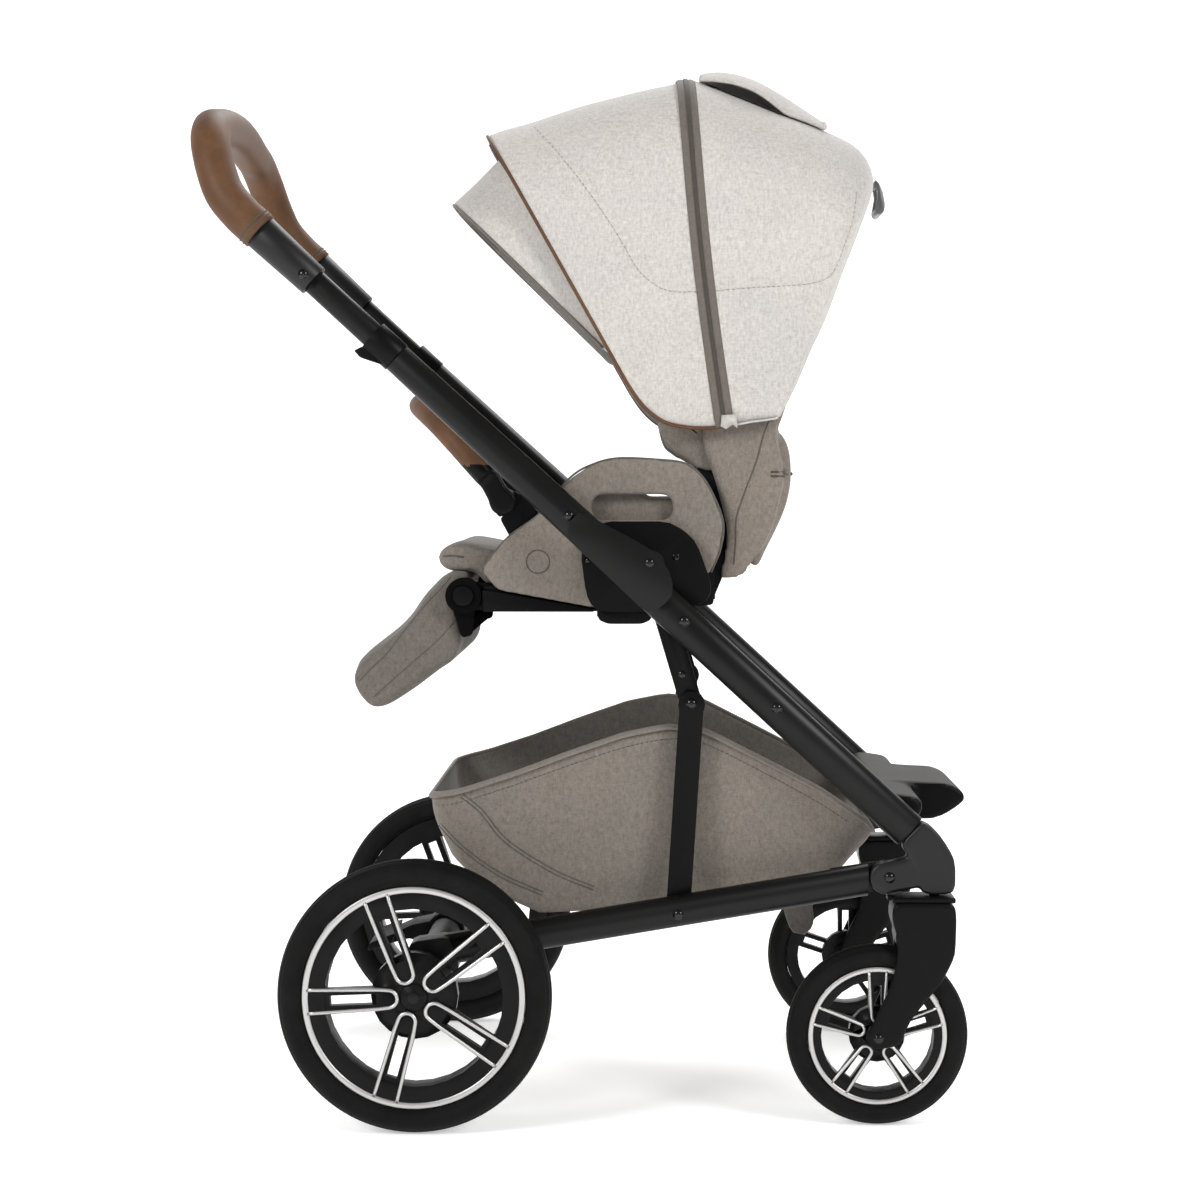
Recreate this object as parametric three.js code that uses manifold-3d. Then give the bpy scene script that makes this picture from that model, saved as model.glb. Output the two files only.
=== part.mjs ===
// A single baby stroller with a seat that faces the parent.
// Millimetres. +X is the way it rolls, +Y its left side, +Z up. Z is 0 on the floor.
// Shapes are drawn with X measured from the rear axle; the whole group is then moved so that
// the origin lies under the middle of the stroller.
import * as THREE from "three";
import { mergeVertices } from "three/addons/utils/BufferGeometryUtils.js";
import Module from "manifold-3d";

const wasm = await Module();
wasm.setup();

// ---------------------------------------------------------------- driving dimensions
const middleX = 171.9; // from the rear axle to the middle of the stroller's length
const gap = 0.3; // between pieces that touch

const rearWheel = { x: 0, y: 275, radius: 145, rim: 117.7, width: 45, sides: 32 };
const frontWheel = { x: 490, y: 229, radius: 96.7, rim: 74, width: 36, sides: 28 };
const casterAxisX = 551;

const frameSlope = Math.atan2(0.678, 0.735); // of the long side tubes, from level
const foldPivot = [247, 598];
const pivotOffset = 21; // from the fold pivot down to the tubes' centre line
const tubeWidth = 38.7;
const tubeSide = { inner: 212, outer: 238 }; // |Y| of the side tubes
const tubeEnd = { start: 16.7, knuckle: 396.6 }; // along the tube from the fold pivot
const upperTubeTop = -346;
const handleTube = { width: 27.4, depth: 19.4, top: -500, bottom: -285 };
const capSpan = { from: -465, to: -542 };

const railPivot = [498, 265];
const railRear = [0, 180];
const railHeight = 34;
const rearAxleTube = { x: 12, z: 168, radius: 17 };

const strutFoot = [278, 225];
const strutElbow = [292, 447];
const strutPlane = { inner: 198, middle: 203.7, outer: 210 };

const socketSide = { inner: 184.2, slot: 191, outer: 197 };
const seatSide = { cushion: 158, rail: 160, panel: 170, outer: 182 };
const reclinePivot = [322, 600];
const calfPivot = [45, 562];
const armPivot = [88, 664];
const canopyPivot = [322, 738];
const backHalf = 148.5;

// ---------------------------------------------------------------- finishes
const finish = (colour, roughness, metalness = 0) =>
  new THREE.MeshStandardMaterial({ color: colour, roughness, metalness });
const finishes = {
  frame: finish(0x242321, 0.45, 0.6),
  plastic: finish(0x1b1b1b, 0.6),
  tyre: finish(0x151515, 0.85),
  rim: finish(0x1a1a1a, 0.4, 0.2),
  leather: finish(0x6b4a35, 0.55),
  linen: finish(0x827c73, 0.95),
  felt: finish(0xd9d5cf, 0.95),
  steel: finish(0x9a9a9a, 0.35, 0.9),
};

// ---------------------------------------------------------------- solids
function toSolid(geometry) {
  const bare = new THREE.BufferGeometry();
  const loose = geometry.index ? geometry.toNonIndexed() : geometry;
  bare.setAttribute("position", loose.getAttribute("position"));
  const merged = mergeVertices(bare, 1e-3);
  return new wasm.Manifold(
    new wasm.Mesh({
      numProp: 3,
      vertProperties: merged.attributes.position.array,
      triVerts: new Uint32Array(merged.index.array),
    }),
  );
}

function toGeometry(solid) {
  const mesh = solid.getMesh();
  const geometry = new THREE.BufferGeometry();
  geometry.setAttribute("position", new THREE.BufferAttribute(mesh.vertProperties, 3));
  geometry.setIndex(new THREE.BufferAttribute(mesh.triVerts, 1));
  geometry.computeVertexNormals();
  return geometry;
}

function join(first, ...others) {
  return toGeometry(others.reduce((whole, other) => whole.add(toSolid(other)), toSolid(first)));
}

function cut(first, ...tools) {
  return toGeometry(tools.reduce((whole, tool) => whole.subtract(toSolid(tool)), toSolid(first)));
}

// A closed outline of [x, z] corners, each rounded by up to the given radius.
function outline(corners, radius = 0) {
  const shape = new THREE.Shape();
  const points = corners.map(([x, z]) => new THREE.Vector2(x, z));
  points.forEach((corner, i) => {
    const before = points[(i + points.length - 1) % points.length];
    const after = points[(i + 1) % points.length];
    const towards = (other) => {
      const reach = Math.min(radius, corner.distanceTo(other) * 0.45);
      return corner.clone().add(other.clone().sub(corner).setLength(reach));
    };
    const start = radius ? towards(before) : corner;
    if (i === 0) shape.moveTo(start.x, start.y);
    else shape.lineTo(start.x, start.y);
    if (!radius) return;
    const end = towards(after);
    shape.quadraticCurveTo(corner.x, corner.y, end.x, end.y);
  });
  shape.closePath();
  return shape;
}

// A side-view outline given thickness from yLow to yHigh.
function slab(corners, yLow, yHigh, radius = 0, roundSteps = 2) {
  const geometry = new THREE.ExtrudeGeometry(outline(corners, radius), {
    depth: yHigh - yLow,
    bevelEnabled: false,
    curveSegments: roundSteps,
  });
  return geometry.rotateX(Math.PI / 2).translate(0, yHigh, 0);
}

// A round bar across the stroller.
function barY([x, z], radius, yLow, yHigh, sides = 16) {
  const geometry = new THREE.CylinderGeometry(radius, radius, yHigh - yLow, sides);
  return geometry.translate(x, (yLow + yHigh) / 2, z);
}

const box = (x, y, z) =>
  new THREE.BoxGeometry(x[1] - x[0], y[1] - y[0], z[1] - z[0]).translate(
    (x[0] + x[1]) / 2,
    (y[0] + y[1]) / 2,
    (z[0] + z[1]) / 2,
  );

// A point of the side tubes' centre line, at a distance below (+) or above (-) the fold pivot.
function onTube(distance, rise = 0) {
  const [x, z] = foldPivot;
  const down = rise - pivotOffset;
  return [
    x + distance * Math.cos(frameSlope) + down * Math.sin(frameSlope),
    z - distance * Math.sin(frameSlope) + down * Math.cos(frameSlope),
  ];
}

// A straight oval bar in a side plane; it may be wider at its start than at its end.
function ovalBar(start, end, widths, yLow, yHigh, sides = 16) {
  const along = new THREE.Vector3(end[0] - start[0], 0, end[1] - start[1]);
  const length = along.length();
  along.normalize();
  const across = new THREE.Vector3(-along.z, 0, along.x);
  const geometry = new THREE.CylinderGeometry(widths[1] / 2, widths[0] / 2, length, sides);
  // The depth is the same all the way, so the oval is shaped point by point.
  const position = geometry.getAttribute("position");
  for (let i = 0; i < position.count; i += 1) {
    const radius = Math.hypot(position.getX(i), position.getZ(i));
    if (radius > 0) position.setZ(i, (position.getZ(i) / radius) * ((yHigh - yLow) / 2));
  }
  const basis = new THREE.Matrix4().makeBasis(across, along, new THREE.Vector3(0, 1, 0));
  basis.setPosition((start[0] + end[0]) / 2, (yLow + yHigh) / 2, (start[1] + end[1]) / 2);
  return geometry.applyMatrix4(basis);
}

// A round section swept along a smooth curve through the given points.
function sweep(points, radius, steps, sides = 14) {
  const path = new THREE.CatmullRomCurve3(points.map((p) => new THREE.Vector3(...p)));
  const ring = new THREE.Shape();
  for (let i = 0; i < sides; i += 1) {
    const turn = (i / sides) * 2 * Math.PI;
    const corner = [radius * Math.cos(turn), radius * Math.sin(turn)];
    if (i === 0) ring.moveTo(...corner);
    else ring.lineTo(...corner);
  }
  ring.closePath();
  return new THREE.ExtrudeGeometry(ring, { extrudePath: path, steps, bevelEnabled: false });
}

// The points of one side of a U and, in turn, those of the other side.
function bothSides(points) {
  const far = points.filter(([, y]) => y !== 0).map(([x, y, z]) => [x, -y, z]);
  return [...points, ...far.reverse()];
}

// ---------------------------------------------------------------- assembly helpers
const stroller = new THREE.Group();
stroller.position.x = -middleX;

function add(name, geometry, material) {
  const mesh = new THREE.Mesh(geometry, finishes[material]);
  mesh.name = name;
  stroller.add(mesh);
  return mesh;
}

// The same solid on the other side of the stroller.
function mirror(geometry) {
  const other = (geometry.index ? geometry.toNonIndexed() : geometry.clone()).scale(1, -1, 1);
  const position = other.getAttribute("position");
  const swap = new THREE.Vector3();
  const keep = new THREE.Vector3();
  for (let i = 0; i < position.count; i += 3) {
    keep.fromBufferAttribute(position, i + 1);
    swap.fromBufferAttribute(position, i + 2);
    position.setXYZ(i + 1, swap.x, swap.y, swap.z);
    position.setXYZ(i + 2, keep.x, keep.y, keep.z);
  }
  return other;
}

// Pieces that come in pairs are drawn on the left and mirrored to the right.
function addPair(name, geometry, material) {
  add(name + "_left", geometry, material);
  add(name + "_right", geometry, material).scale.y = -1;
}

// ---------------------------------------------------------------- wheels
function tyre({ x, y, radius, rim, width, sides }) {
  const half = width / 2;
  const inner = rim + gap;
  const profile = [
    [inner, -half * 0.75],
    [radius - 10, -half],
    [radius - 2.5, -half * 0.6],
    [radius, 0],
    [radius - 2.5, half * 0.6],
    [radius - 10, half],
    [inner, half * 0.75],
    [inner, -half * 0.75],
  ].map(([r, across]) => new THREE.Vector2(r, across));
  return new THREE.LatheGeometry(profile, sides).translate(x, y, radius);
}

// A rim band, five twin-bladed spokes and a hub. The back of the hub has a ring groove.
function rim(wheel, { band, spoke, slot, hub, bore, firstSpoke }) {
  const { x, y, radius, rim: outer, width, sides } = wheel;
  const half = width / 2;
  const lathe = (points, steps = sides) =>
    new THREE.LatheGeometry(points.map(([r, across]) => new THREE.Vector2(r, across)), steps);
  const bandRing = lathe([
    [band, -half * 0.66],
    [outer, -half * 0.66],
    [outer, half * 0.66],
    [band, half * 0.66],
    [band, -half * 0.66],
  ]);
  const hubBody = lathe([
    [bore, -half * 0.86],
    [hub * 0.52, -half * 0.86],
    [hub * 0.52, -half * 0.4],
    [hub * 0.92, -half * 0.4],
    [hub * 0.92, -half * 0.6],
    [hub, -half * 0.6],
    [hub, half * 0.1],
    [hub * 0.7, half * 0.5],
    [bore, half * 0.5],
    [bore, -half * 0.86],
  ], 20);
  const blades = [];
  for (let i = 0; i < 5; i += 1) {
    const turn = firstSpoke + (i * 2 * Math.PI) / 5;
    const inner = hub * 0.4;
    const bar = box([inner, band + 2], [half * 0.05, half * 0.58], [-spoke / 2, spoke / 2]);
    const slit = box([hub * 0.85, band - 6], [-half, half], [-slot / 2, slot / 2]);
    blades.push(cut(bar, slit).rotateY(-turn));
  }
  const clearBore = new THREE.CylinderGeometry(bore, bore, width * 2, 20);
  return cut(join(bandRing, hubBody, ...blades), clearBore).translate(x, y, radius);
}

function addWheels() {
  const firstSpoke = THREE.MathUtils.degToRad(38.4);
  const rearRim = { band: 94, spoke: 25, slot: 11, hub: 46, bore: 6.4, firstSpoke };
  const frontRim = { band: 60, spoke: 19, slot: 8, hub: 30, bore: 5.4, firstSpoke: 0.314 };
  addPair("rear_tyre", tyre(rearWheel), "tyre");
  addPair("rear_rim", rim(rearWheel, rearRim), "rim");
  addPair("front_tyre", tyre(frontWheel), "tyre");
  addPair("front_rim", rim(frontWheel, frontRim), "rim");
}

// ---------------------------------------------------------------- front frame
function lowerTube() {
  const from = onTube(tubeEnd.start);
  const to = onTube(tubeEnd.knuckle);
  return ovalBar(from, to, [tubeWidth, tubeWidth], tubeSide.inner, tubeSide.outer);
}

// The tube end that turns down to the caster, with an arm back to the rail's pivot.
function frontKnuckle() {
  const seamTop = onTube(tubeEnd.knuckle + gap, tubeWidth / 2);
  const seamBottom = onTube(tubeEnd.knuckle + gap, -tubeWidth / 2);
  const elbow = [seamTop, [556, 311], [572, 285], [572, 248], [534, 248], [534, 280], seamBottom];
  const body = slab(elbow, tubeSide.inner, tubeSide.outer + 2, 9);
  const arm = slab([[498, 248], [540, 256], [540, 292], [498, 282]], 220, tubeSide.outer + 1, 4);
  const boss = barY(railPivot, 17.3, 220, tubeSide.outer + 1, 24);
  const rest = box([478, 540], [211, 219.7], [230, 300]);
  const pivotPin = barY(railPivot, 5, 206, 221);
  const trimmed = cut(join(body, arm, boss), rest);
  const stem = barY([0, 0], 6.5, 230, 275, 16).rotateX(Math.PI / 2);
  stem.translate(casterAxisX, frontWheel.y, 0);
  return cut(join(trimmed, pivotPin), stem);
}

// The crossbar between the tubes and the tread plate on it.
function frontCrossbar() {
  const half = tubeSide.inner - gap;
  const bar = barY([519, 330], 15, -half, half, 20);
  const tread = [[498, 349], [582, 349], [598, 338], [597, 328], [560, 308], [505, 322]];
  const wingShape = [[496, 349], [545, 349], [548, 336], [530, 318], [505, 318]];
  const wing = slab(wingShape, 85, half, 5);
  return join(bar, slab(tread, -86, 86, 6), wing, mirror(wing));
}

// The plate that takes the seat's tongue, with the main fold pin on its outer face.
function seatSocket() {
  const corners = [
    [194, 643], [269, 643], [296, 624], [314, 575], [310, 556],
    [253, 546], [190, 545.5], [179, 561], [172, 614],
  ];
  const plate = slab(corners, socketSide.inner, socketSide.outer, 12);
  const tongueSlot = box([214, 240], [socketSide.inner - 1, socketSide.slot], [566, 660]);
  const pin = barY(foldPivot, 8, socketSide.outer - 2, tubeSide.outer - 1, 18);
  return join(cut(plate, tongueSlot), pin);
}

// ---------------------------------------------------------------- rear frame
// The side rail, its tongue at the knuckle and the casting that holds the rear axle.
function baseRail() {
  const slope = (railPivot[1] - railRear[1]) / (railPivot[0] - railRear[0]);
  const along = (x) => [x, railRear[1] + slope * (x - railRear[0])];
  const rail = ovalBar(along(4), along(490), [railHeight, railHeight], tubeSide.inner, tubeSide.outer);
  const aroundBoss = barY(railPivot, 17.8, 219.4, 242, 24);
  const besideBoss = box([480, 520], [219.4, 242], [240, 300]);
  const tongue = slab([[440, 242], [498, 249], [498, 281], [440, 272]], 213, 219.2);
  const eye = barY(railPivot, 16, 212.2, 219.2, 24);
  const trimmedRail = cut(rail, aroundBoss, besideBoss);
  const casting = slab([[-20, 148], [-8, 196], [34, 202], [46, 170], [18, 126], [-12, 124]], 211, 246, 8);
  const stub = barY([rearWheel.x, rearWheel.radius], 6, 244, 291, 18);
  const pinHole = barY(railPivot, 5.3, 200, 230);
  return cut(join(trimmedRail, tongue, eye, casting, stub), pinHole);
}

const rearAxle = () =>
  barY([rearAxleTube.x, rearAxleTube.z], rearAxleTube.radius, -210.6, 210.6, 20);

// A cloth tub that hangs between the rails.
function basket() {
  const rimLine = [
    [8, 346], [50, 356], [117, 379], [215, 411], [270, 423], [305, 414], [400, 367], [486, 308],
  ];
  const floorLine = [[456, 268], [300, 243], [126, 219], [36, 278]];
  const innerFloor = [[451, 273], [300, 248], [128, 224.5], [42, 282]];
  const innerRim = [[13, 346], [10, 470], [480, 470], [480, 308]];
  const outer = slab([...rimLine, ...floorLine], -192, 192);
  const inner = slab([...innerRim, ...innerFloor], -188, 188);
  return cut(outer, inner);
}

function brakePedal() {
  const sleeve = barY([rearAxleTube.x, rearAxleTube.z], 22, -26, 26, 20);
  const lever = slab([[4, 182], [-26, 176], [-62, 160], [-66, 150], [-30, 160], [2, 150]], -26, 26, 3);
  const tread = slab([[-44, 170], [-74, 158], [-76, 149], [-48, 158]], -48, 48, 3);
  const bore = barY([rearAxleTube.x, rearAxleTube.z], rearAxleTube.radius + gap, -60, 60, 20);
  return cut(join(sleeve, lever, tread), bore);
}

// ---------------------------------------------------------------- side struts
function link(from, to, width, eyeRadius, yLow, yHigh) {
  const direction = new THREE.Vector2(to[0] - from[0], to[1] - from[1]).normalize();
  const side = [(-direction.y * width) / 2, (direction.x * width) / 2];
  const corners = [
    [from[0] + side[0], from[1] + side[1]],
    [from[0] - side[0], from[1] - side[1]],
    [to[0] - side[0], to[1] - side[1]],
    [to[0] + side[0], to[1] + side[1]],
  ];
  return join(
    slab(corners, yLow, yHigh),
    barY(from, eyeRadius, yLow, yHigh),
    barY(to, eyeRadius, yLow, yHigh),
  );
}

const strutLower = () =>
  link(strutFoot, strutElbow, 26, 14.5, strutPlane.middle + gap, strutPlane.outer);

function strutUpper() {
  const body = link(strutElbow, foldPivot, 24, 14.5, strutPlane.inner, strutPlane.middle);
  return cut(body, barY(foldPivot, 8.4, 190, 215, 18));
}

// ---------------------------------------------------------------- folding upper frame
function upperTube() {
  const start = onTube(tubeEnd.start - gap);
  const end = onTube(upperTubeTop);
  const { inner, outer } = tubeSide;
  const tube = ovalBar(start, end, [tubeWidth, 32], inner, outer);
  const eye = barY(foldPivot, 15.8, inner, outer + 1, 24);
  const neck = slab([foldPivot, onTube(14, 0), onTube(-60, 0), onTube(-50, 18)], inner, outer);
  const cover = slab(
    [onTube(-96, 12), onTube(-88, -17), onTube(36, -19), onTube(42, 14), onTube(20, 32), onTube(-12, 34)],
    outer + 0.4, outer + 4.5, 12,
  );
  const pinHole = barY(foldPivot, 8.4, inner - 5, outer - 0.5, 16);
  const bore = ovalBar(
    onTube(-215), onTube(upperTubeTop - 5),
    [handleTube.width + 0.8, handleTube.width + 0.8],
    225 - handleTube.depth / 2 - 0.4, 225 + handleTube.depth / 2 + 0.4,
  );
  return cut(join(tube, eye, neck, cover), pinHole, bore);
}

// A sliding collar with a finger tab, round the handle tube.
function foldTrigger() {
  const collar = ovalBar(onTube(upperTubeTop - gap), onTube(-380), [34.6, 34.6], 210.5, 239.5);
  const tab = slab([onTube(-352, -16), onTube(-380, -15), onTube(-384, -25), onTube(-374, -26)], 219, 231, 2);
  const bore = ovalBar(
    onTube(-330), onTube(-390),
    [handleTube.width + 0.8, handleTube.width + 0.8],
    225 - handleTube.depth / 2 - 0.4, 225 + handleTube.depth / 2 + 0.4,
  );
  return cut(join(collar, tab), bore);
}

const handleTubeSolid = () =>
  ovalBar(
    onTube(handleTube.bottom), onTube(handleTube.top),
    [handleTube.width, handleTube.width],
    225 - handleTube.depth / 2, 225 + handleTube.depth / 2,
  );

function handleCap() {
  const body = ovalBar(onTube(capSpan.from), onTube(capSpan.to), [35, 39], 208, 242, 20);
  const pocket = ovalBar(
    onTube(capSpan.from + 5), onTube(handleTube.top - gap),
    [handleTube.width + 2 * gap, handleTube.width + 2 * gap],
    225 - handleTube.depth / 2 - gap, 225 + handleTube.depth / 2 + gap,
  );
  return cut(body, pocket);
}

const gripPath = () => {
  const [x, z] = onTube(capSpan.to - gap);
  return bothSides([
    [x, 225, z],
    [-186.5, 224, 969.5],
    [-204, 218, 990.5],
    [-215, 208, 1016],
    [-224, 190, 1047],
    [-228.5, 158, 1066],
    [-230, 120, 1073],
    [-230, 60, 1081],
    [-230, 0, 1084],
  ]);
};

// The grip ends square on the caps, so that the two never overlap. The button sits in a
// pocket on the side that faces the person who pushes.
function handleGrip() {
  const grip = sweep(gripPath(), 21.5, 30, 12);
  const beyondCap = ovalBar(onTube(capSpan.to - gap), onTube(capSpan.to + 60), [90, 90], 190, 260, 12);
  const buttonPocket = box([-272, -230], [-19.4, 19.4], [1077, 1091]);
  return cut(grip, beyondCap, mirror(beyondCap), buttonPocket);
}

const handleButton = () =>
  slab([[-254, 1078], [-234.5, 1078], [-234.5, 1090], [-254, 1090]], -19, 19, 3);

// ---------------------------------------------------------------- casters
function casterFork() {
  const { x, y, radius, width } = frontWheel;
  const legIn = y - width / 2 - 8;
  const legOut = y + width / 2 + 8;
  const crownShape = [[505, 241], [570, 241], [572, 226], [571, 188], [556, 188], [510, 202], [503, 224]];
  const crown = slab(crownShape, legIn, legOut, 7);
  const legShape = [
    [506, 212], [571, 205], [571, 186], [558, 158], [524, 116],
    [512, 88], [484, 84], [477, 98], [504, 156], [510, 188],
  ];
  const wheelRoom = barY([x, radius], radius + 3, y - width / 2 - 2, y + width / 2 + 2, 36);
  const stem = barY([0, 0], 6, 236, 272, 16).rotateX(Math.PI / 2).translate(casterAxisX, y, 0);
  const axle = barY([x, radius], 5, legIn + 1, legOut - 1, 16);
  const legs = slab(legShape, legIn, legOut, 8);
  return join(cut(join(crown, legs), wheelRoom), stem, axle);
}

const swivelLock = () =>
  slab([[500, 241.4], [528, 241.4], [528, 244], [506, 246.6], [500, 246.6]], 219, 239);

// ---------------------------------------------------------------- seat unit
function seatFrame() {
  const { cushion, rail, panel, outer } = seatSide;
  const railOutline = [[66, 572], [67, 546], [190, 545], [316, 552], [318, 590], [190, 574]];
  const wedge = [[66, 568], [67, 545], [186, 545], [186, 547.6], [82, 566]];
  const pan = box([66, 318], [-rail - 1, rail + 1], [558, 572]);
  const half = [];
  half.push(slab(railOutline, rail, panel - 0.5, 4));
  half.push(slab(wedge, panel - 2, outer));
  half.push(box([210, 244], [rail + 2, panel], [560, 628]));
  half.push(box([214.4, 239.6], [panel - 1, socketSide.slot - 0.4], [567, 626]));
  half.push(barY(calfPivot, 17, cushion - 8, panel - 4.5, 20));
  half.push(slab([[45, 546], [80, 546], [80, 572], [45, 578]], cushion - 8, panel - 4.5));
  half.push(barY(reclinePivot, 11, cushion - 7.7, rail - 0.5, 20));
  half.push(slab([[303, 558], [316, 558], [331, 594], [312, 603]], cushion - 7.7, rail - 0.5));
  half.push(slab([[300, 556], [318, 558], [318, 588], [300, 572]], cushion - 7.7, rail + 2));
  half.push(slab([[104, 570], [132, 570], [132, 640], [104, 640]], rail, panel - 0.5));
  half.push(slab([[96, 624], [128, 650], [112, 668], [84, 646]], rail + 1, panel - 0.5, 4));
  half.push(barY(armPivot, 15, rail + 1, panel - 0.5, 20));
  half.push(slab([[84, 646], [112, 668], [100, 676], [74, 660]], rail + 1, panel - 0.5, 4));
  const mirrored = half.map((piece) => mirror(piece));
  return join(pan, ...half, ...mirrored);
}

// The padded wing beside the child, with a hand slot.
function sidePanel() {
  const corners = [
    [64, 591], [90, 624], [128, 652], [161, 689], [187, 706], [214, 712], [255, 710], [284, 707],
    [300, 696], [314, 675], [327, 642], [323, 613], [314, 588], [250, 560], [188, 549], [82, 568.5],
  ];
  const wing = slab(corners, seatSide.panel, seatSide.outer, 6);
  const slot = slab([[184, 644], [272, 644], [272, 672], [184, 672]], 160, 190, 11);
  const tongueRoom = box([205, 249], [165, 188], [540, 632]);
  return cut(wing, slot, tongueRoom);
}

function seatCushion() {
  const corners = [
    [12, 603], [17, 614], [32, 619], [80, 611], [290, 606],
    [302, 596], [302, 574], [66, 574], [57, 589], [18, 590],
  ];
  return slab(corners, -seatSide.cushion, seatSide.cushion, 6);
}

// The lip closes the gap under the socket and stays clear of the rail when the latch is pressed.
function seatLatch() {
  const corners = [[190, 543.8], [192, 536], [202, 532], [238, 532], [248, 536], [250, 543.8]];
  const body = slab(corners, 171, 183.5, 3);
  const lip = slab([[190, 540], [250, 540], [250, 550], [190, 547.5]], 174.5, 183.5);
  return join(body, lip);
}

// The crotch strap and the harness buckle on it.
function buckle() {
  const strap = slab([[176, 610], [180, 610], [163, 642], [159, 642]], -12, 12);
  const shell = slab([[152, 636], [160, 632], [178, 668], [170, 672]], -30, 30, 3);
  const buttonRoom = slab([[150, 650.5], [159.7, 645.8], [163.4, 653.5], [153.5, 658.4]], -9.4, 9.4);
  return cut(join(strap, shell), buttonRoom);
}

const buckleButton = () => slab([[150.4, 651], [157.2, 647.6], [160.6, 654.4], [153.8, 657.8]], -9, 9);

function calfFrame() {
  const hub = barY(calfPivot, 19.5, 166, 180.5, 28);
  const arm = slab([[32, 550], [58, 553], [54, 519], [43, 516]], 166, 170.5, 3);
  const pocket = barY(calfPivot, 11.3, 173, 182, 20);
  const side = cut(join(hub, arm), pocket);
  const bar = slab([[41.4, 518], [50, 519], [50, 533], [41.4, 532]], -167, 167);
  return join(side, mirror(side), bar);
}

function calfPad() {
  const corners = [
    [8, 566], [17, 576], [25, 560], [36, 540], [41, 512], [36, 500], [15, 482], [-17, 457], [-46, 439],
    [-61, 444], [-78, 470], [-75, 477], [-27, 524],
  ];
  return slab(corners, -164, 164, 8);
}

const calfButton = () => barY(calfPivot, 11, 176.4, 184.5, 24);

// The bar in front of the child: two black ends and a wrapped grip.
function armBar() {
  const path = bothSides([
    [70, 177, 691],
    [46, 175, 718],
    [20, 152, 745],
    [-4, 100, 765],
    [-13, 50, 771],
    [-14, 0, 772],
  ]);
  const grip = sweep(path, 13, 24, 10);
  const end = slab([[80, 652], [100, 664], [80, 702], [58, 692]], 170, 182.5, 4);
  const disc = barY(armPivot, 15, 170, 182.5, 24);
  return join(grip, end, disc, mirror(end), mirror(disc));
}

// ---------------------------------------------------------------- backrest
function backShell() {
  const lowBoard = [
    [340, 584], [352, 586], [384, 655], [391, 692], [384, 730],
    [378, 754], [368, 754], [352, 700], [338, 640],
  ];
  const highBoard = [
    [376, 750], [404, 797], [434, 865], [467, 960], [476, 985],
    [464, 990], [455, 960], [423, 868], [394, 803], [366, 750],
  ];
  const bolster = [
    [322, 601], [356, 601], [380, 655], [386, 692], [382, 740],
    [330, 756], [308, 748], [306, 719], [325, 678], [334, 637],
  ];
  const hingeRoom = barY(reclinePivot, 12.2, 140, seatSide.rail + 0.1, 24);
  const ear = barY(reclinePivot, 11, seatSide.rail + 0.3, 165, 20);
  const earArm = slab([[318, 597], [332, 594], [345, 612], [328, 618]], seatSide.rail + 0.3, 165);
  const hub = barY(canopyPivot, 17, 163, 178, 24);
  const hubArm = slab([[312, 726], [372, 726], [372, 746], [312, 750]], 155, 165);
  const side = join(cut(slab(bolster, backHalf - 1, 165, 5), hingeRoom), ear, earArm, hub, hubArm);
  const pocket = [
    [364, 590], [372, 610], [394, 655], [402, 694], [397, 738], [380, 742], [380, 692], [350, 600],
  ];
  const boards = join(slab(lowBoard, -backHalf, backHalf), slab(highBoard, -124, 124));
  return join(boards, slab(pocket, -144, 144, 2), side, mirror(side));
}

function backPad() {
  const corners = [
    [306, 600], [338, 600], [337.4, 640], [351.4, 700], [365.4, 750], [393.3, 803], [422.3, 868],
    [454, 960], [460, 984], [446, 988], [424, 960], [350, 800], [318, 700], [304, 640],
  ];
  return slab(corners, -120, 120, 6);
}

// A pull ring at the top of the backrest, slim above and thick below.
function reclineHandle() {
  const corners = [
    [500, 1026], [504.5, 1022], [509, 1012], [511.5, 998], [510.5, 990], [507, 986.5],
    [502.5, 987], [501, 992], [502.5, 1002], [504, 1010], [502.5, 1018],
  ];
  const ring = slab(corners, -30, 30, 2);
  const opening = box([490, 520], [-20, 20], [994, 1018]);
  return cut(ring, opening);
}

// ---------------------------------------------------------------- canopy
// The hood is drawn as arches that stand on lines from the canopy's pivot.
const crown = [
  [66, 1070], [122, 1084], [209, 1108], [284, 1131], [296, 1132], [360, 1103], [437, 1069], [480, 1049],
  [493, 1029], [494, 1007], [480, 976], [449, 879], [418, 808], [387, 757],
];
const visorCrown = [[42, 980], [67, 1006], [92, 1030]];
const edgeBulge = 48; // how far the front edge bows forward near the pivot
const edgeReach = 480;

// Points across one arch: up the left side, over the top and down the right side.
function archSection(reach, halfWidth, legStart, steps) {
  const shoulder = Math.min(130, (reach - legStart) * 0.8);
  const section = [];
  const legSteps = 4;
  for (let i = 0; i < legSteps; i += 1) {
    section.push([legStart + ((reach - shoulder - legStart) * i) / legSteps, halfWidth]);
  }
  for (let i = 0; i <= steps; i += 1) {
    const turn = ((i / steps) * Math.PI) / 2;
    const across = halfWidth * Math.cos(turn) ** 0.62;
    section.push([reach - shoulder + shoulder * Math.sin(turn) ** 0.8, across]);
  }
  const other = section.slice(0, -1).map(([along, across]) => [along, -across]);
  return [...section, ...other.reverse()];
}

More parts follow.
